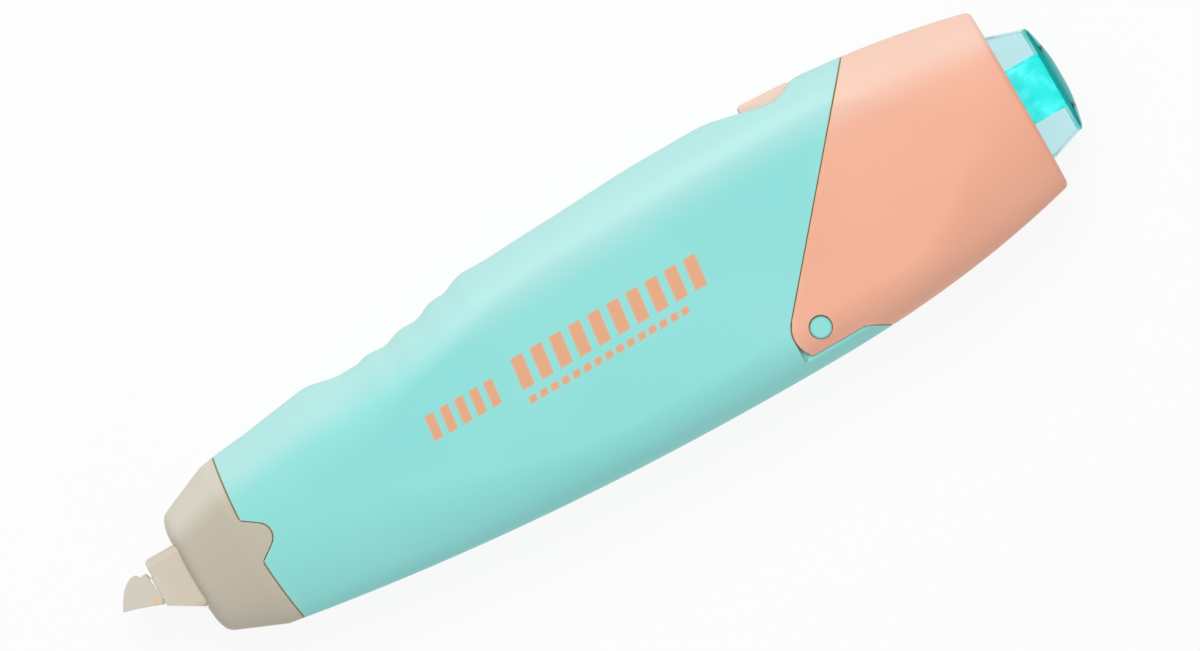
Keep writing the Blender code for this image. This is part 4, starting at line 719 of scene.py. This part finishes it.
def nose_ring():
    """Nose as one closed loop of rings: the hole outwards, round the front, back along the skin to
    the seam with its tabs, in to the spigot, and forward again along the bore."""
    rounding, spigot_at, bore_at, hole_end = 0.0016, 0.0206, 0.0161, 0.01167
    spigot_depth, bore_depth = 0.0021, 0.0031
    full_at = NOSE_AT + rounding
    full = casing_surface(np.full_like(ring_turns, full_at), ring_turns)
    angle = np.arctan2(full[:, 2], full[:, 1])
    hole = round_rectangle(angle, SLEEVE_HALF + GAP / 2, SLEEVE_HIGH + GAP / 2, 0.0010)
    hole_y, hole_z = SLEEVE_MIDDLE + hole * np.cos(angle), hole * np.sin(angle)
    curve = through([(0, 0.5), (0.08, 0.68), (0.19, 0.79), (0.42, 0.905), (0.70, 0.967), (1.0, 1.0)], 12)
    least = np.hypot(hole_y, hole_z) / np.hypot(full[:, 1], full[:, 2])
    size = least + (1 - least) * np.linspace(0, 1, 16)[:-1, None] ** 0.8
    depth = NOSE_AT + rounding * np.interp(size, curve[:, 1], curve[:, 0])
    front = across(depth, size * full[:, 1], size * full[:, 2])
    seam = settle(front_seam, ring_turns, 0, 0.018)
    start, knuckle = np.full_like(seam, full_at), np.full_like(seam, KNUCKLE_AT)
    u = np.concatenate([start[None], between(start, knuckle, 16), knuckle[None],
                        between(knuckle, seam - LIP_ROWS[-1], 12), (seam - LIP_ROWS)[::-1]])
    turn = np.broadcast_to(ring_turns, u.shape)
    drop = lip_drop(seam - u)
    skin = casing_surface(u, turn) - casing_normal(u, turn) * drop[..., None]
    spigot_end = np.full_like(seam, spigot_at)
    spigot_u = np.concatenate([seam[None], between(seam, spigot_end, 4), spigot_end[None]])
    spigot_turn = np.broadcast_to(ring_turns, spigot_u.shape)
    normal = casing_normal(spigot_u, spigot_turn)
    spigot = casing_surface(spigot_u, spigot_turn) - spigot_depth * normal
    mouth = casing_surface(spigot_end, ring_turns) - bore_depth * casing_normal(spigot_end, ring_turns)
    wide = 1.08 * hole
    bore = across(np.array([[bore_at], [hole_end]]), SLEEVE_MIDDLE + wide * np.cos(angle),
                  wide * np.sin(angle))
    bore = np.concatenate([mouth[None], bore])
    hole_u = np.stack([np.full_like(seam, hole_end), depth[0] + 0.0008, depth[0] + 0.0001])
    passage = across(hole_u, hole_y, hole_z)
    rings = np.concatenate([passage, front, skin, spigot, bore])
    worn_and_painted_light, lit_paling = np.zeros(rings.shape[:2]), np.zeros(rings.shape[:2])
    first, last = len(passage) + len(front), len(passage) + len(front) + len(skin)
    # Marks: rubbed wear with painted shade at the seam rim, and a painted highlight over the lit spine side.
    worn_and_painted_light[first:last] = np.exp(-(seam - u) / EDGE_MARK_REACH)
    lit_paling[len(passage):last] = lit_side_share(rings[len(passage):last])
    faces = grid_faces(*rings.shape[:2], wrap=True, loop=True)
    return (rings.reshape(-1, 3), faces, []), dict(edge=worn_and_painted_light.ravel(), lit_paling=lit_paling.ravel())


CREAM = linear(196, 187, 168)
# The pale cream is the colour of rubbed rims and also a painted highlight on the nose's lit side.
cream = plastic("cream_plastic", CREAM, 0.50, linear(224, 219, 203))
nose_shape, nose_marks = nose_ring()
nose = put_mesh("cream_nose", in_place(nose_shape), cream, **nose_marks)
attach(nose, "casing")
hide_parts("nose_cone")


# Cartridge. White moulded plates, reels and gears with a black friction ring; they are pressed or
# snapped onto posts, and the tape and its liner are wound on the two reels.
def dress(node, material):
    """Give a solid of the frame its finish."""
    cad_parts[node].data.materials.clear()
    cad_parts[node].data.materials.append(material)


white = plastic("white_plastic", linear(232, 232, 228), 0.45, linear(244, 244, 242), amount=0.0)
rubber = plastic("clutch_rubber", linear(42, 42, 44), 0.70, linear(70, 70, 72), amount=0.0)
for part in ("cartridge_chassis", "cartridge_plate", "supply_reel", "supply_gear", "idler_gear",
             "takeup_reel", "takeup_gear"):
    dress(part, white)
dress("clutch_ring", rubber)


def wound(centre, inner, outer, half_width, turns_of_tape):
    """Wound strip: a ring whose two sides step gently from turn to turn and whose outside is plain."""
    radius = np.linspace(inner, outer, turns_of_tape * 4 + 1)
    groove = 0.00004 * (1 - np.cos(2 * np.pi * np.arange(len(radius)) / 4)) / 2
    profile = np.concatenate([np.stack([radius, -half_width + groove], axis=-1),
                              np.stack([radius, half_width - groove], axis=-1)[::-1]])
    return turned(centre, profile, 96)


def strip(knots, half_width, thickness):
    """Flat strip: a thin rectangle carried along a smooth path through knots in the u, y plane."""
    path = through(knots, 10)
    along = np.gradient(path, axis=0)
    along /= np.linalg.norm(along, axis=1, keepdims=True)
    side = np.stack([-along[:, 1], along[:, 0]], axis=-1) * thickness / 2
    corners = [(path + side, half_width), (path - side, half_width), (path - side, -half_width),
               (path + side, -half_width)]
    rings = np.stack([across(p[:, 0], p[:, 1], np.full(len(p), z)) for p, z in corners], axis=1)
    index = np.arange(len(path) * 4).reshape(-1, 4)
    return rings.reshape(-1, 3), grid_faces(len(path), 4, wrap=True), [index[0][::-1], index[-1]]


fibre, taken, given = shader_group(
    "strip_fibre", [("Place", "Vector"), ("Colour", "Color"), ("Dark", "Color")],
    [("Colour", "Color"), ("Roughness", "Float"), ("Height", "Float")])
streak = noise(fibre, taken["Place"], 1500, 3)
feed(fibre, given["Colour"], blend_colour(fibre, ramp(fibre, streak, 0.35, 0.75, 0.0, 0.35),
                                          taken["Colour"], taken["Dark"]))
feed(fibre, given["Roughness"], ramp(fibre, streak, 0.3, 0.7, 0.50, 0.62))
feed(fibre, given["Height"], streak)


def strip_finish(name, colour, dark):
    """Coated paper strip with a faint fibre in it."""
    material, tree, shader, place = new_finish(name)
    look = use_group(tree, fibre, Place=place, Colour=colour, Dark=dark)
    feed(tree, shader.inputs["Base Color"], look["Colour"])
    feed(tree, shader.inputs["Roughness"], look["Roughness"])
    raise_skin(tree, shader, look["Height"], 0.15, 0.00003)
    return material


tape_white = strip_finish("tape_white", linear(246, 245, 240), linear(228, 226, 218))
liner_paper = strip_finish("liner_paper", linear(238, 205, 158), linear(214, 172, 118))
TAPE_HALF, TAPE_THICK, LIFT = 0.0025, 0.00022, 0.00013
SUPPLY_AT, TAKEUP_AT = 0.066, 0.042
tape_path = [(SUPPLY_AT, -0.0115 - LIFT), (0.0506, -0.01068), (0.0362, -0.0097)]
tape_path += [tuple(p) for p in ring_arc((0.0351, -0.0086), 0.0008 + LIFT, -85, -149, 4)]
tape_path += [(0.0326, -0.0037), (0.0271, -0.0013 - LIFT), (0.0160, -0.0013 - LIFT),
              (0.00645, -0.0013 - LIFT), (0.00465, -0.00072 - LIFT), (0.00062, 0.00047)]
liner_path = [(0.00078, 0.00106), (0.0024, 0.00136 + LIFT), (0.0040, 0.0018 + LIFT),
              (0.0056, 0.0020 + LIFT), (0.0072, 0.0022 + LIFT), (0.0160, 0.0022 + LIFT),
              (0.0271, 0.0022 + LIFT), (0.0311, 0.0036)]
liner_path += [tuple(p) for p in ring_arc((TAKEUP_AT, 0), 0.0066 + LIFT, 111.7, 86, 4)]
for name, shape, body, node, finish, slot in (
        ("wound_tape", wound((SUPPLY_AT, 0), 0.0063, 0.0115, TAPE_HALF, 20), "supply", "tape_roll",
         tape_white, "tape"),
        ("wound_liner", wound((TAKEUP_AT, 0), 0.0059, 0.0066, TAPE_HALF, 3), "takeup", "liner_roll",
         liner_paper, "liner"),
        ("tape_strand", strip(tape_path, TAPE_HALF, TAPE_THICK), "cartridge", "feed_tape",
         tape_white, "tape"),
        ("liner_strand", strip(liner_path, TAPE_HALF, TAPE_THICK), "cartridge", "return_liner",
         liner_paper, "liner")):
    wrapped = put_mesh(name, in_place(shape), finish)
    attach(wrapped, body)
    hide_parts(node)


# Tip sleeve. A cream squarish tube around the neck of the head, cut away at the foot on the
# writing side; it is moulded thin and clipped into the cartridge's socket.
def corner_ring(half_width, half_height, radius, corner_steps=10, side_steps=6):
    """Rounded rectangle as a ring of (y, z) points: straight sides and quarter-circle corners."""
    bend = np.linspace(0, np.pi / 2, corner_steps)
    start = np.array([0, 1, 2, 3])[:, None] * np.pi / 2
    middle_y = (half_width - radius) * np.array([1, -1, -1, 1])[:, None]
    middle_z = (half_height - radius) * np.array([1, 1, -1, -1])[:, None]
    corners = np.stack([middle_y + radius * np.cos(start + bend),
                        middle_z + radius * np.sin(start + bend)], axis=-1)
    share = np.linspace(0, 1, side_steps + 2)[1:-1, None]
    sides = corners[:, -1:] * (1 - share) + np.roll(corners, -1, axis=0)[:, :1] * share
    return np.concatenate([corners, sides], axis=1).reshape(-1, 2)


def sleeve_tube():
    """Tube between two rounded rectangles; its front edge leans slightly, runs back steeply below the
    foot line, and is rounded at the upper corner."""
    front_at, rear_at, thin, foot_y, foot_slope = 0.0050, 0.0265, 0.0008, -0.00164, 0.00407 / 0.0024
    outside = corner_ring(SLEEVE_HALF, SLEEVE_HIGH, 0.0010, side_steps=30)
    inside = corner_ring(SLEEVE_HALF - thin, SLEEVE_HIGH - thin, 0.0003, side_steps=30)
    y = SLEEVE_MIDDLE + outside[:, 0]
    front = front_at + np.maximum(foot_y - y, 0) * foot_slope + 0.035 * (y + 0.0016)
    bend = np.clip((y - 0.0039) / 0.0005, 0, 1)
    front = front + 0.0004 * (1 - np.sqrt(1 - bend ** 2))
    rear = np.full_like(front, rear_at)
    rows = np.concatenate([front + 0.6 * LIP_ROWS, between(front + LIP_ROWS[-1], rear, 20), rear[None]])
    drop = 1 - lip_drop((rows - front) / 0.6)[..., None] * 0.6 / SLEEVE_HIGH
    outer = across(rows, SLEEVE_MIDDLE + outside[:, 0] * drop[..., 0], outside[:, 1] * drop[..., 0])
    inner = across(rows, SLEEVE_MIDDLE + inside[:, 0], inside[:, 1])
    points, quads, used = walled(outer, inner, grid_faces(*rows.shape, wrap=True))
    worn_and_painted_light = np.concatenate([np.exp(-(rows - front).ravel() / 0.0003), np.zeros(rows.size)])[used]
    return (points, quads, []), worn_and_painted_light


# The sleeve's front rim turns a deeper cream, partly dirt and partly painted shade where it sits in the nose.
sleeve_cream = plastic("sleeve_cream", linear(212, 200, 180), 0.50, linear(236, 229, 215),
                       seam_dirt_and_shade=linear(204, 191, 168))
sleeve_shape, sleeve_edge_mark = sleeve_tube()
sleeve = put_mesh("cream_sleeve", in_place(sleeve_shape), sleeve_cream, edge=sleeve_edge_mark)
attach(sleeve, "cartridge")
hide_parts("tip_sleeve")


# Applicator head. A cream wedge that the tape runs round, with a thin guard plate on each side
# that keeps the tape on the pressing edge; the white core and neck are moulded in one.
guard_outline = 0.001 * np.concatenate([through([
    (0.0, 0.31), (0.60, 1.34), (1.27, 2.34), (2.04, 3.03), (2.70, 3.42), (3.22, 3.46), (3.52, 3.16),
    (3.74, 2.84), (4.08, 2.98), (4.40, 3.00), (4.64, 2.70), (4.76, 1.77), (4.86, 0.86), (4.88, -0.06),
    (4.84, -0.70), (4.67, -1.28)], 4), [(3.1, -0.66), (1.6, -0.14)]])
core_outline = [(0.00095, 0.00073), (0.00465, -0.00072), (0.00645, -0.0013), (0.0255, -0.0013),
                (0.0255, 0.0022), (0.0072, 0.0022), (0.0040, 0.0018), (0.00095, 0.00096)]
neck_outline = [(0.0043, -0.0007), (0.0058, -0.0014), (0.0058, 0.0026), (0.0044, 0.0021)]
shoulder_outline = [(0.0044, -0.0006), (0.00514, -0.00066), (0.00522, 0.0019), (0.0045, 0.0019)]
GUARD_LOW, GUARD_HIGH, NECK_HIGH, SHOULDER_HIGH = 0.0027, 0.0034, 0.00308, 0.00334


def plate_pair(outline, low, high, bevel):
    """Two like plates, one on each side of the parting plane."""
    return gather(plate(outline, low, high, bevel), plate(outline, -high, -low, bevel))


def amber_smear(tree, place):
    """Mask of a small smear of adhesive on the guard's rear lower corner."""
    offset = tree.nodes.new("ShaderNodeVectorMath")
    offset.operation = "DISTANCE"
    feed(tree, offset.inputs[0], place)
    offset.inputs[1].default_value = (0.00416 - LENGTH / 2, -0.00055, HALF_THICKNESS + GUARD_HIGH)
    ragged = maths(tree, "ADD", offset.outputs["Value"],
                   ramp(tree, noise(tree, place, 2500), 0.3, 0.7, -0.0001, 0.0001))
    return ramp(tree, ragged, 0.0002, 0.0006, 0.75, 0.0)


guard_cream = plastic("guard_cream", linear(212, 205, 187), 0.45, linear(240, 234, 222), mark=amber_smear,
                      ink=linear(247, 190, 120))
guards = put_mesh("cream_guards", in_place(plate_pair(guard_outline, GUARD_LOW, GUARD_HIGH, 0.00005)),
                  guard_cream)
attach(guards, "cartridge")
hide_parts("tape_head")
BRIGHT_WHITE = linear(250, 250, 248)
bright_white = plastic("bright_white_plastic", BRIGHT_WHITE, 0.45, BRIGHT_WHITE, amount=0.0)
core_shape = gather(plate(core_outline, -GUARD_LOW, GUARD_LOW, 0.0001),
                    plate_pair(neck_outline, GUARD_LOW - 0.0001, NECK_HIGH, 0.0001),
                    plate_pair(shoulder_outline, GUARD_LOW - 0.0001, SHOULDER_HIGH, 0.00003))
head_core = put_mesh("head_core", in_place(core_shape), bright_white)
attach(head_core, "cartridge")


# Springs and rocker pin. Drawn steel wire wound cold, held between two seats and stretched or
# pressed by the piece that moves, and a plain steel pin pushed through the rocker into the shells.
steel, steel_tree, steel_shader, steel_place = new_finish("drawn_steel")
drawn = noise(steel_tree, steel_place, 3000, 3)
steel_tone = blend_colour(steel_tree, ramp(steel_tree, drawn, 0.3, 0.7), linear(176, 178, 182),
                          linear(206, 207, 209))
steel_shader.inputs["Metallic"].default_value = 1.0
feed(steel_tree, steel_shader.inputs["Base Color"], steel_tone)
feed(steel_tree, steel_shader.inputs["Roughness"], ramp(steel_tree, drawn, 0.3, 0.7, 0.24, 0.38))
dress("rocker_pin", steel)


def coil(start, along, length, radius, wire, turns_of_wire):
    """Spring wire: a small circle carried along a helix whose first and last turn lie closed."""
    along = np.array(along, float)
    first, second = np.roll(along, 1), np.roll(along, 2)
    turn = np.linspace(0, turns_of_wire, 32 * turns_of_wire + 1)
    closed, climb = 1.05 * wire, length - wire
    rise = wire / 2 + np.interp(turn, [0, 1, turns_of_wire - 1, turns_of_wire],
                                [0, closed, climb - closed, climb])
    angle = 2 * np.pi * turn[:, None]
    out = np.cos(angle) * first + np.sin(angle) * second
    centre = np.array(start) + rise[:, None] * along + radius * out
    ahead = np.gradient(centre, axis=0)
    side = np.cross(ahead / np.linalg.norm(ahead, axis=1, keepdims=True), out)
    bend = np.linspace(0, 2 * np.pi, 12, endpoint=False)[None, :, None]
    rings = centre[:, None] + wire / 2 * (np.cos(bend) * out[:, None] + np.sin(bend) * side[:, None])
    index = np.arange(rings[..., 0].size).reshape(rings.shape[:2])
    return rings.reshape(-1, 3), grid_faces(*rings.shape[:2], wrap=True), [index[0][::-1], index[-1]]


for name, node, mover, start, along, length, radius, wire, turns_of_wire in (
        ("steel_return_spring", "return_spring", "cartridge", (0.02265, 0.00735, 0), (1, 0, 0), 0.00734,
         0.00146, 0.00045, 7),
        ("steel_rocker_spring", "rocker_spring", "rocker", (0.0974, 0.0070, 0), (0, 1, 0), 0.0038,
         0.00122, 0.0004, 4)):
    spring = put_mesh(name, in_place(coil(start, along, length, radius, wire, turns_of_wire)), steel)
    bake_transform(spring)
    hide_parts(node)


# Release rocker. A peach moulded lever on a steel pin: a hook ahead of it holds the cartridge, and
# the tab behind it stands in the saddle for the thumb.
tab_outline = through([
    (0.0919, 0.0111), (0.0965, 0.0111), (0.1011, 0.0111), (0.1012, 0.0123), (0.10115, 0.0139),
    (0.1010, 0.01535), (0.1006, 0.0157), (0.0975, 0.01588), (0.09445, 0.01605), (0.09405, 0.0158),
    (0.09405, 0.0140), (0.09405, 0.0123), (0.0919, 0.0123)], 1)
hook_outline = [(0.0850, 0.0105), (0.0865, 0.0105), (0.0865, 0.0111), (0.0901, 0.0111), (0.0901, 0.0123),
                (0.0850, 0.0123)]
TAB_HALF, HUB_BORE, HUB_RADIUS = 0.0035, 0.00095, 0.0015
hub_profile = [(HUB_BORE, -TAB_HALF), (HUB_RADIUS, -TAB_HALF), (HUB_RADIUS, TAB_HALF), (HUB_BORE, TAB_HALF)]
rocker_shape = gather(plate(tab_outline, -TAB_HALF, TAB_HALF, 0.00035),
                      plate(hook_outline, -TAB_HALF, TAB_HALF, 0.0002),
                      turned((ROCKER_AT, ROCKER_Y), hub_profile, 40))
pale_peach = plastic("pale_peach_plastic", linear(243, 206, 192), 0.48, linear(252, 226, 216))
rocker = put_mesh("peach_rocker", in_place(rocker_shape), pale_peach)
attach(rocker, "rocker")
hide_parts("release_rocker")


# Rear cover. A peach moulded cap with a slanted front edge; two round lugs swing on the casing's
# bosses, and the end wall has an opening for the knock button.
HEM_LEVEL, LUG_LEVEL, COVER_ROUND = 0.0069, 0.0068, 0.0006
COVER_WALL, END_WALL, BOSS_HOLE, LUG_STOCK = 0.0012, 0.0013, 0.00146, 0.0047


def turn_at_height(u):
    """Turn on the underside at which the form is at the height of the plate's edge."""
    flat = flat_half_width(u)
    angle = np.arccos(np.clip((-STRIP_Y - flat) / (side_reach(u) - flat), -1, 1))
    return 1 - (SIDE_TURN + CORNER_TURN * angle * 2 / np.pi)


def cover_cap():
    """Cover as rows of stations round the whole form: plate rows over the upper turns from the
    slanted edge, full rows to the rear end, then over its rounding and in to the opening."""
    edge_turn = float(turn_at_height(np.array(0.0872)))
    ring = np.unique(np.concatenate([ring_turns, [edge_turn, 2 - edge_turn]]))
    mirror = np.where(ring <= 1, ring, 2 - ring)
    plate_columns = mirror <= edge_turn + 1e-9
    lug_edge = settle(rear_seam, mirror, 0, 0.095)
    low_u = settle(strip_end, mirror, -0.00012, 0.0965)
    shoulder = np.where(plate_columns, np.maximum(lug_edge + 0.0022, STRIP_CORNER), low_u)
    start = np.where(plate_columns, lug_edge, low_u)
    rear = np.full_like(ring, COVER_END - COVER_ROUND)
    plate_rows = np.concatenate([start + LIP_ROWS, between(start + LIP_ROWS[-1], shoulder, 22)])
    close_end = shoulder + 0.0009
    close_rows = np.where(plate_columns, between(shoulder, close_end, 6), low_u + LIP_ROWS[1:])
    wide_rows = between(np.where(plate_columns, close_end, low_u + LIP_ROWS[-1]), rear, 56)
    full_rows = np.concatenate([shoulder[None], close_rows, wide_rows, rear[None]])
    u = np.concatenate([np.where(plate_columns, plate_rows, low_u), full_rows])
    nearness = np.maximum(1 - np.abs(mirror - edge_turn) / 0.05, 0)
    pull = nearness * (turn_at_height(np.minimum(u, STRIP_CORNER)) - edge_turn)
    pull = pull * (1 - smooth_step((u - STRIP_CORNER) / 0.01))
    turn = np.where(ring <= 1, ring + pull, ring - pull)
    skin, normal = casing_surface(u, turn), casing_normal(u, turn)
    edge = np.where(plate_columns, u - lug_edge, u - low_u)
    hem = np.where((u < STRIP_CORNER) & plate_columns, np.maximum(skin[..., 1] - STRIP_Y, 0), 1.0)
    edge = np.minimum(edge, hem)
    outer = skin - normal * lip_drop(edge)[..., None]
    foot = STRIP_Y - np.maximum(u - STRIP_CORNER, 0) * math.tan(STRIP_SLOPE)
    close = np.clip(1 - (skin[..., 1] - foot) / 0.0016, 0, 1)
    above = np.maximum(np.abs(outer[..., 2]) - HEM_LEVEL, 0) * (1 - np.sqrt(1 - close ** 2))
    outer[..., 2] -= np.sign(outer[..., 2]) * above
    inner = skin - normal * COVER_WALL
    away = np.hypot(u - PIN_AT, skin[..., 1] - PIN_Y)
    hemmed = smooth_step((0.0011 - (skin[..., 1] - foot)) / 0.0006) * (u < STRIP_CORNER + COVER_WALL)
    stock = np.maximum(smooth_step((LUG_STOCK - away) / 0.0006), hemmed) * (np.abs(skin[..., 2]) > LUG_LEVEL)
    inner += stock[..., None] * (across(u, skin[..., 1], np.sign(skin[..., 2]) * LUG_LEVEL) - inner)
    bend = np.linspace(0, np.pi / 2, 8)[1:, None]
    round_u = COVER_END - COVER_ROUND * (1 - np.sin(bend)) + 0 * ring
    round_skin = casing_surface(round_u, np.broadcast_to(ring, round_u.shape))
    round_normal = casing_normal(round_u, np.broadcast_to(ring, round_u.shape))
    round_outer = round_skin - round_normal * (COVER_ROUND * (1 - np.cos(bend)))[..., None]
    round_outer[..., 0] = round_u
    rim = round_outer[-1]
    angle = np.arctan2(rim[:, 2], rim[:, 1])
    hole = round_rectangle(angle, 0.0088, 0.0050, 0.0022)
    share = np.linspace(0, 1, 8)[1:, None]
    lip = np.clip(1 - (1 - share) * 6, 0, 1) ** 2 * 0.0002
    end_outer = across(COVER_END - lip, rim[:, 1] * (1 - share) + hole * np.cos(angle) * share,
                       rim[:, 2] * (1 - share) + hole * np.sin(angle) * share)
    round_inner = round_skin - round_normal * COVER_WALL
    round_inner[..., 0] = np.minimum(round_inner[..., 0], COVER_END - END_WALL)
    inner[..., 0] = np.minimum(inner[..., 0], COVER_END - END_WALL)
    end_inner = across(np.full_like(end_outer[..., 0], COVER_END - END_WALL),
                       round_inner[-1, :, 1] * (1 - share) + hole * np.cos(angle) * share,
                       round_inner[-1, :, 2] * (1 - share) + hole * np.sin(angle) * share)
    outer = np.concatenate([outer, round_outer, end_outer])
    inner = np.concatenate([inner, round_inner, end_inner])
    rows, columns = outer.shape[:2]
    faces = grid_faces(rows, columns, wrap=True)
    row, column = np.divmod(faces[:, 0], columns)
    after = faces[:, 1] % columns
    dropped = (row < len(plate_rows)) & ~(plate_columns[column] & plate_columns[after])
    points, quads, used = walled(outer, inner, faces[~dropped])
    worn_and_painted_light, lit_paling = np.zeros((2, rows, columns)), np.zeros((2, rows, columns))
    # Marks: rubbed wear with painted shade at the front rim, and a painted highlight over the lit spine side.
    worn_and_painted_light[0, :len(u)] = np.exp(-np.maximum(u - start, 0) / EDGE_MARK_REACH)
    lit_paling[0, :len(u) + len(round_u)] = lit_side_share(np.concatenate([skin, round_skin]))
    return (points, quads, []), dict(edge=worn_and_painted_light.ravel()[used], lit_paling=lit_paling.ravel()[used])


def drill(piece, tool):
    """Cut a tool out of a piece and keep the result as its mesh."""
    cutter = piece.modifiers.new("hole", "BOOLEAN")
    cutter.operation = "DIFFERENCE"
    cutter.solver = "EXACT"
    cutter.object = tool
    result = bpy.data.meshes.new_from_object(piece.evaluated_get(bpy.context.evaluated_depsgraph_get()))
    piece.modifiers.clear()
    piece.data = result
    result.set_sharp_from_angle(angle=math.radians(35))
    bpy.data.objects.remove(tool)


# The pale peach is the colour of rubbed rims and also a painted highlight on the cover's lit side.
peach = plastic("peach_plastic", linear(244, 176, 146), 0.48, linear(247, 214, 195))
cover_shape, cover_marks = cover_cap()
cover = put_mesh("peach_cover", in_place(cover_shape), peach, **cover_marks)
hole_profile = [(0.0, -0.012), (BOSS_HOLE, -0.012), (BOSS_HOLE, 0.012), (0.0, 0.012)]
drill(cover, put_mesh("hole_tool", in_place(turned((PIN_AT, PIN_Y), hole_profile, 64)), peach))
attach(cover, "cover")
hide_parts("rear_cover")


# Knock button. A clear teal moulded cup with a crowned end; a stem inside it pushes the cartridge,
# and two wings behind the cover's end wall keep it from falling out.
def ring_solid(rows):
    """Closed skin through rounded-rectangle rings (station, half-width, half-height, radius, scale);
    the first and the last ring shrink to a point."""
    points = np.stack([across(np.full(len(ring), u), ring[:, 0], ring[:, 1])
                       for u, hw, hh, r, scale in rows for ring in (scale * corner_ring(hw, hh, r),)])
    points[0, :, 1:] = 0
    points[-1, :, 1:] = 0
    return points.reshape(-1, 3), grid_faces(*points.shape[:2], wrap=True), []


CUP_HALF, CUP_HIGH, CUP_CORNER, WING_HALF = 0.0085, 0.0047, 0.0022, 0.0098
CUP_SIDE, CUP_TOP = 0.0004, 0.0011


def cup_ring(u, side, top):
    """Ring of the cup at station u, set in from the outside: it narrows evenly behind the cover."""
    narrow = 0.0020 * max(u - COVER_END, 0) / 0.006
    return u, CUP_HALF - narrow - side, CUP_HIGH - 0.6 * narrow - top, CUP_CORNER - side, 1.0


def button_cup():
    """Cup as one closed skin of rounded-rectangle rings: from the middle of the crown out and
    forward along the outside, round the front rim, and back inside to the middle of the end wall."""
    crown_at, crown_high, floor_at, wing_front, wing_back = 0.1285, 0.0009, 0.1286, 0.11171, 0.11291
    _, hw, hh, r, _ = cup_ring(crown_at, 0, 0)
    crown = [(LENGTH - crown_high * d, hw, hh, r, s) for d, s in (
        (0.0, 0.001), (0.01, 0.10), (0.04, 0.2), (0.10, 0.32), (0.20, 0.44), (0.36, 0.57), (0.55, 0.69),
        (0.75, 0.80), (0.90, 0.87), (1.02, 0.925), (1.18, 0.965), (1.38, 0.988))]
    outside = [cup_ring(u, 0, 0) for u in (*np.linspace(crown_at, COVER_END, 10), 0.1210, 0.1170, 0.11296)]
    wings = [(u, half, CUP_HIGH, CUP_CORNER, 1.0)
             for u, half in ((wing_back, 0.0086), (wing_back, WING_HALF), (wing_front, WING_HALF))]
    inside = [cup_ring(u, CUP_SIDE, CUP_TOP)
              for u in (wing_front, 0.1160, 0.1200, COVER_END, 0.1260, 0.1280, 0.1284)]
    _, hw, hh, r, _ = cup_ring(floor_at, CUP_SIDE, CUP_TOP)
    floor = [(floor_at, hw, hh, r, scale) for scale in (0.97, 0.8, 0.5, 0.001)]
    return ring_solid(crown + outside + wings + inside + floor)


teal, teal_tree, teal_shader, teal_place = new_finish("clear_teal_plastic")
teal_shader.inputs["Transmission Weight"].default_value = 1.0
teal_shader.inputs["IOR"].default_value = 1.20
teal_parts = teal_tree.nodes.new("ShaderNodeSeparateXYZ")
feed(teal_tree, teal_parts.inputs[0], teal_place)
in_end = ramp(teal_tree, teal_parts.outputs[0], 0.12855 - LENGTH / 2, 0.12865 - LENGTH / 2)
teal_skin = use_group(teal_tree, grain, Place=teal_place, Gloss=0.05, Colour=blend_colour(
    teal_tree, in_end, linear(248, 254, 255), linear(20, 206, 190)))
feed(teal_tree, teal_shader.inputs["Base Color"], teal_skin["Colour"])
feed(teal_tree, teal_shader.inputs["Roughness"], teal_skin["Roughness"])
tinted = teal_tree.nodes.new("ShaderNodeVolumeAbsorption")
tinted.inputs["Color"].default_value = (0.02, 0.68, 0.76, 1)
tinted.inputs["Density"].default_value = 230.0
teal_tree.links.new(tinted.outputs[0], teal_tree.nodes["Material Output"].inputs["Volume"])
button = put_mesh("teal_button", in_place(button_cup()), teal)
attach(button, "knock")
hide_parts("knock_button")

# The stem is painted light: its cells of lighter and darker teal are painted refractions, and it glows with
# an emission of its own colour that stands in for light carried through the clear cup.
stem_teal, stem_tree, stem_shader, stem_place = new_finish("teal_stem_painted_glow")
painted_refractions = stem_tree.nodes.new("ShaderNodeTexVoronoi")
feed(stem_tree, painted_refractions.inputs["Vector"], stem_place)
painted_refractions.inputs["Scale"].default_value = 700
refraction_tone = stem_tree.nodes.new("ShaderNodeSeparateColor")
feed(stem_tree, refraction_tone.inputs[0], painted_refractions.outputs["Color"])
stem_skin = use_group(stem_tree, grain, Place=stem_place, Gloss=0.15, Colour=blend_colour(
    stem_tree, maths(stem_tree, "MULTIPLY", ramp(stem_tree, refraction_tone.outputs[0], 0.0, 1.0, 0.35, 1.0),
                     ramp(stem_tree, noise(stem_tree, stem_place, 420, 4), 0.35, 0.7)),
    linear(8, 208, 198), linear(118, 252, 248)))
feed(stem_tree, stem_shader.inputs["Base Color"], stem_skin["Colour"])
feed(stem_tree, stem_shader.inputs["Roughness"], stem_skin["Roughness"])
# Painted glow: the stem emits its own colour though it is no lamp.
feed(stem_tree, stem_shader.inputs["Emission Color"], stem_skin["Colour"])
stem_shader.inputs["Emission Strength"].default_value = 0.53
stem_rows = [(u, 0.0037, 0.0030, 0.0006, scale) for u, scale in (
    (0.1037, 0.001), (0.1037, 0.94), (0.1040, 1.0), (0.1160, 1.0), (0.1240, 1.0), (0.1282, 1.0),
    (0.1285, 0.95), (0.1285, 0.001))]
stem = put_mesh("teal_stem", in_place(ring_solid(stem_rows)), stem_teal)
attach(stem, "knock")
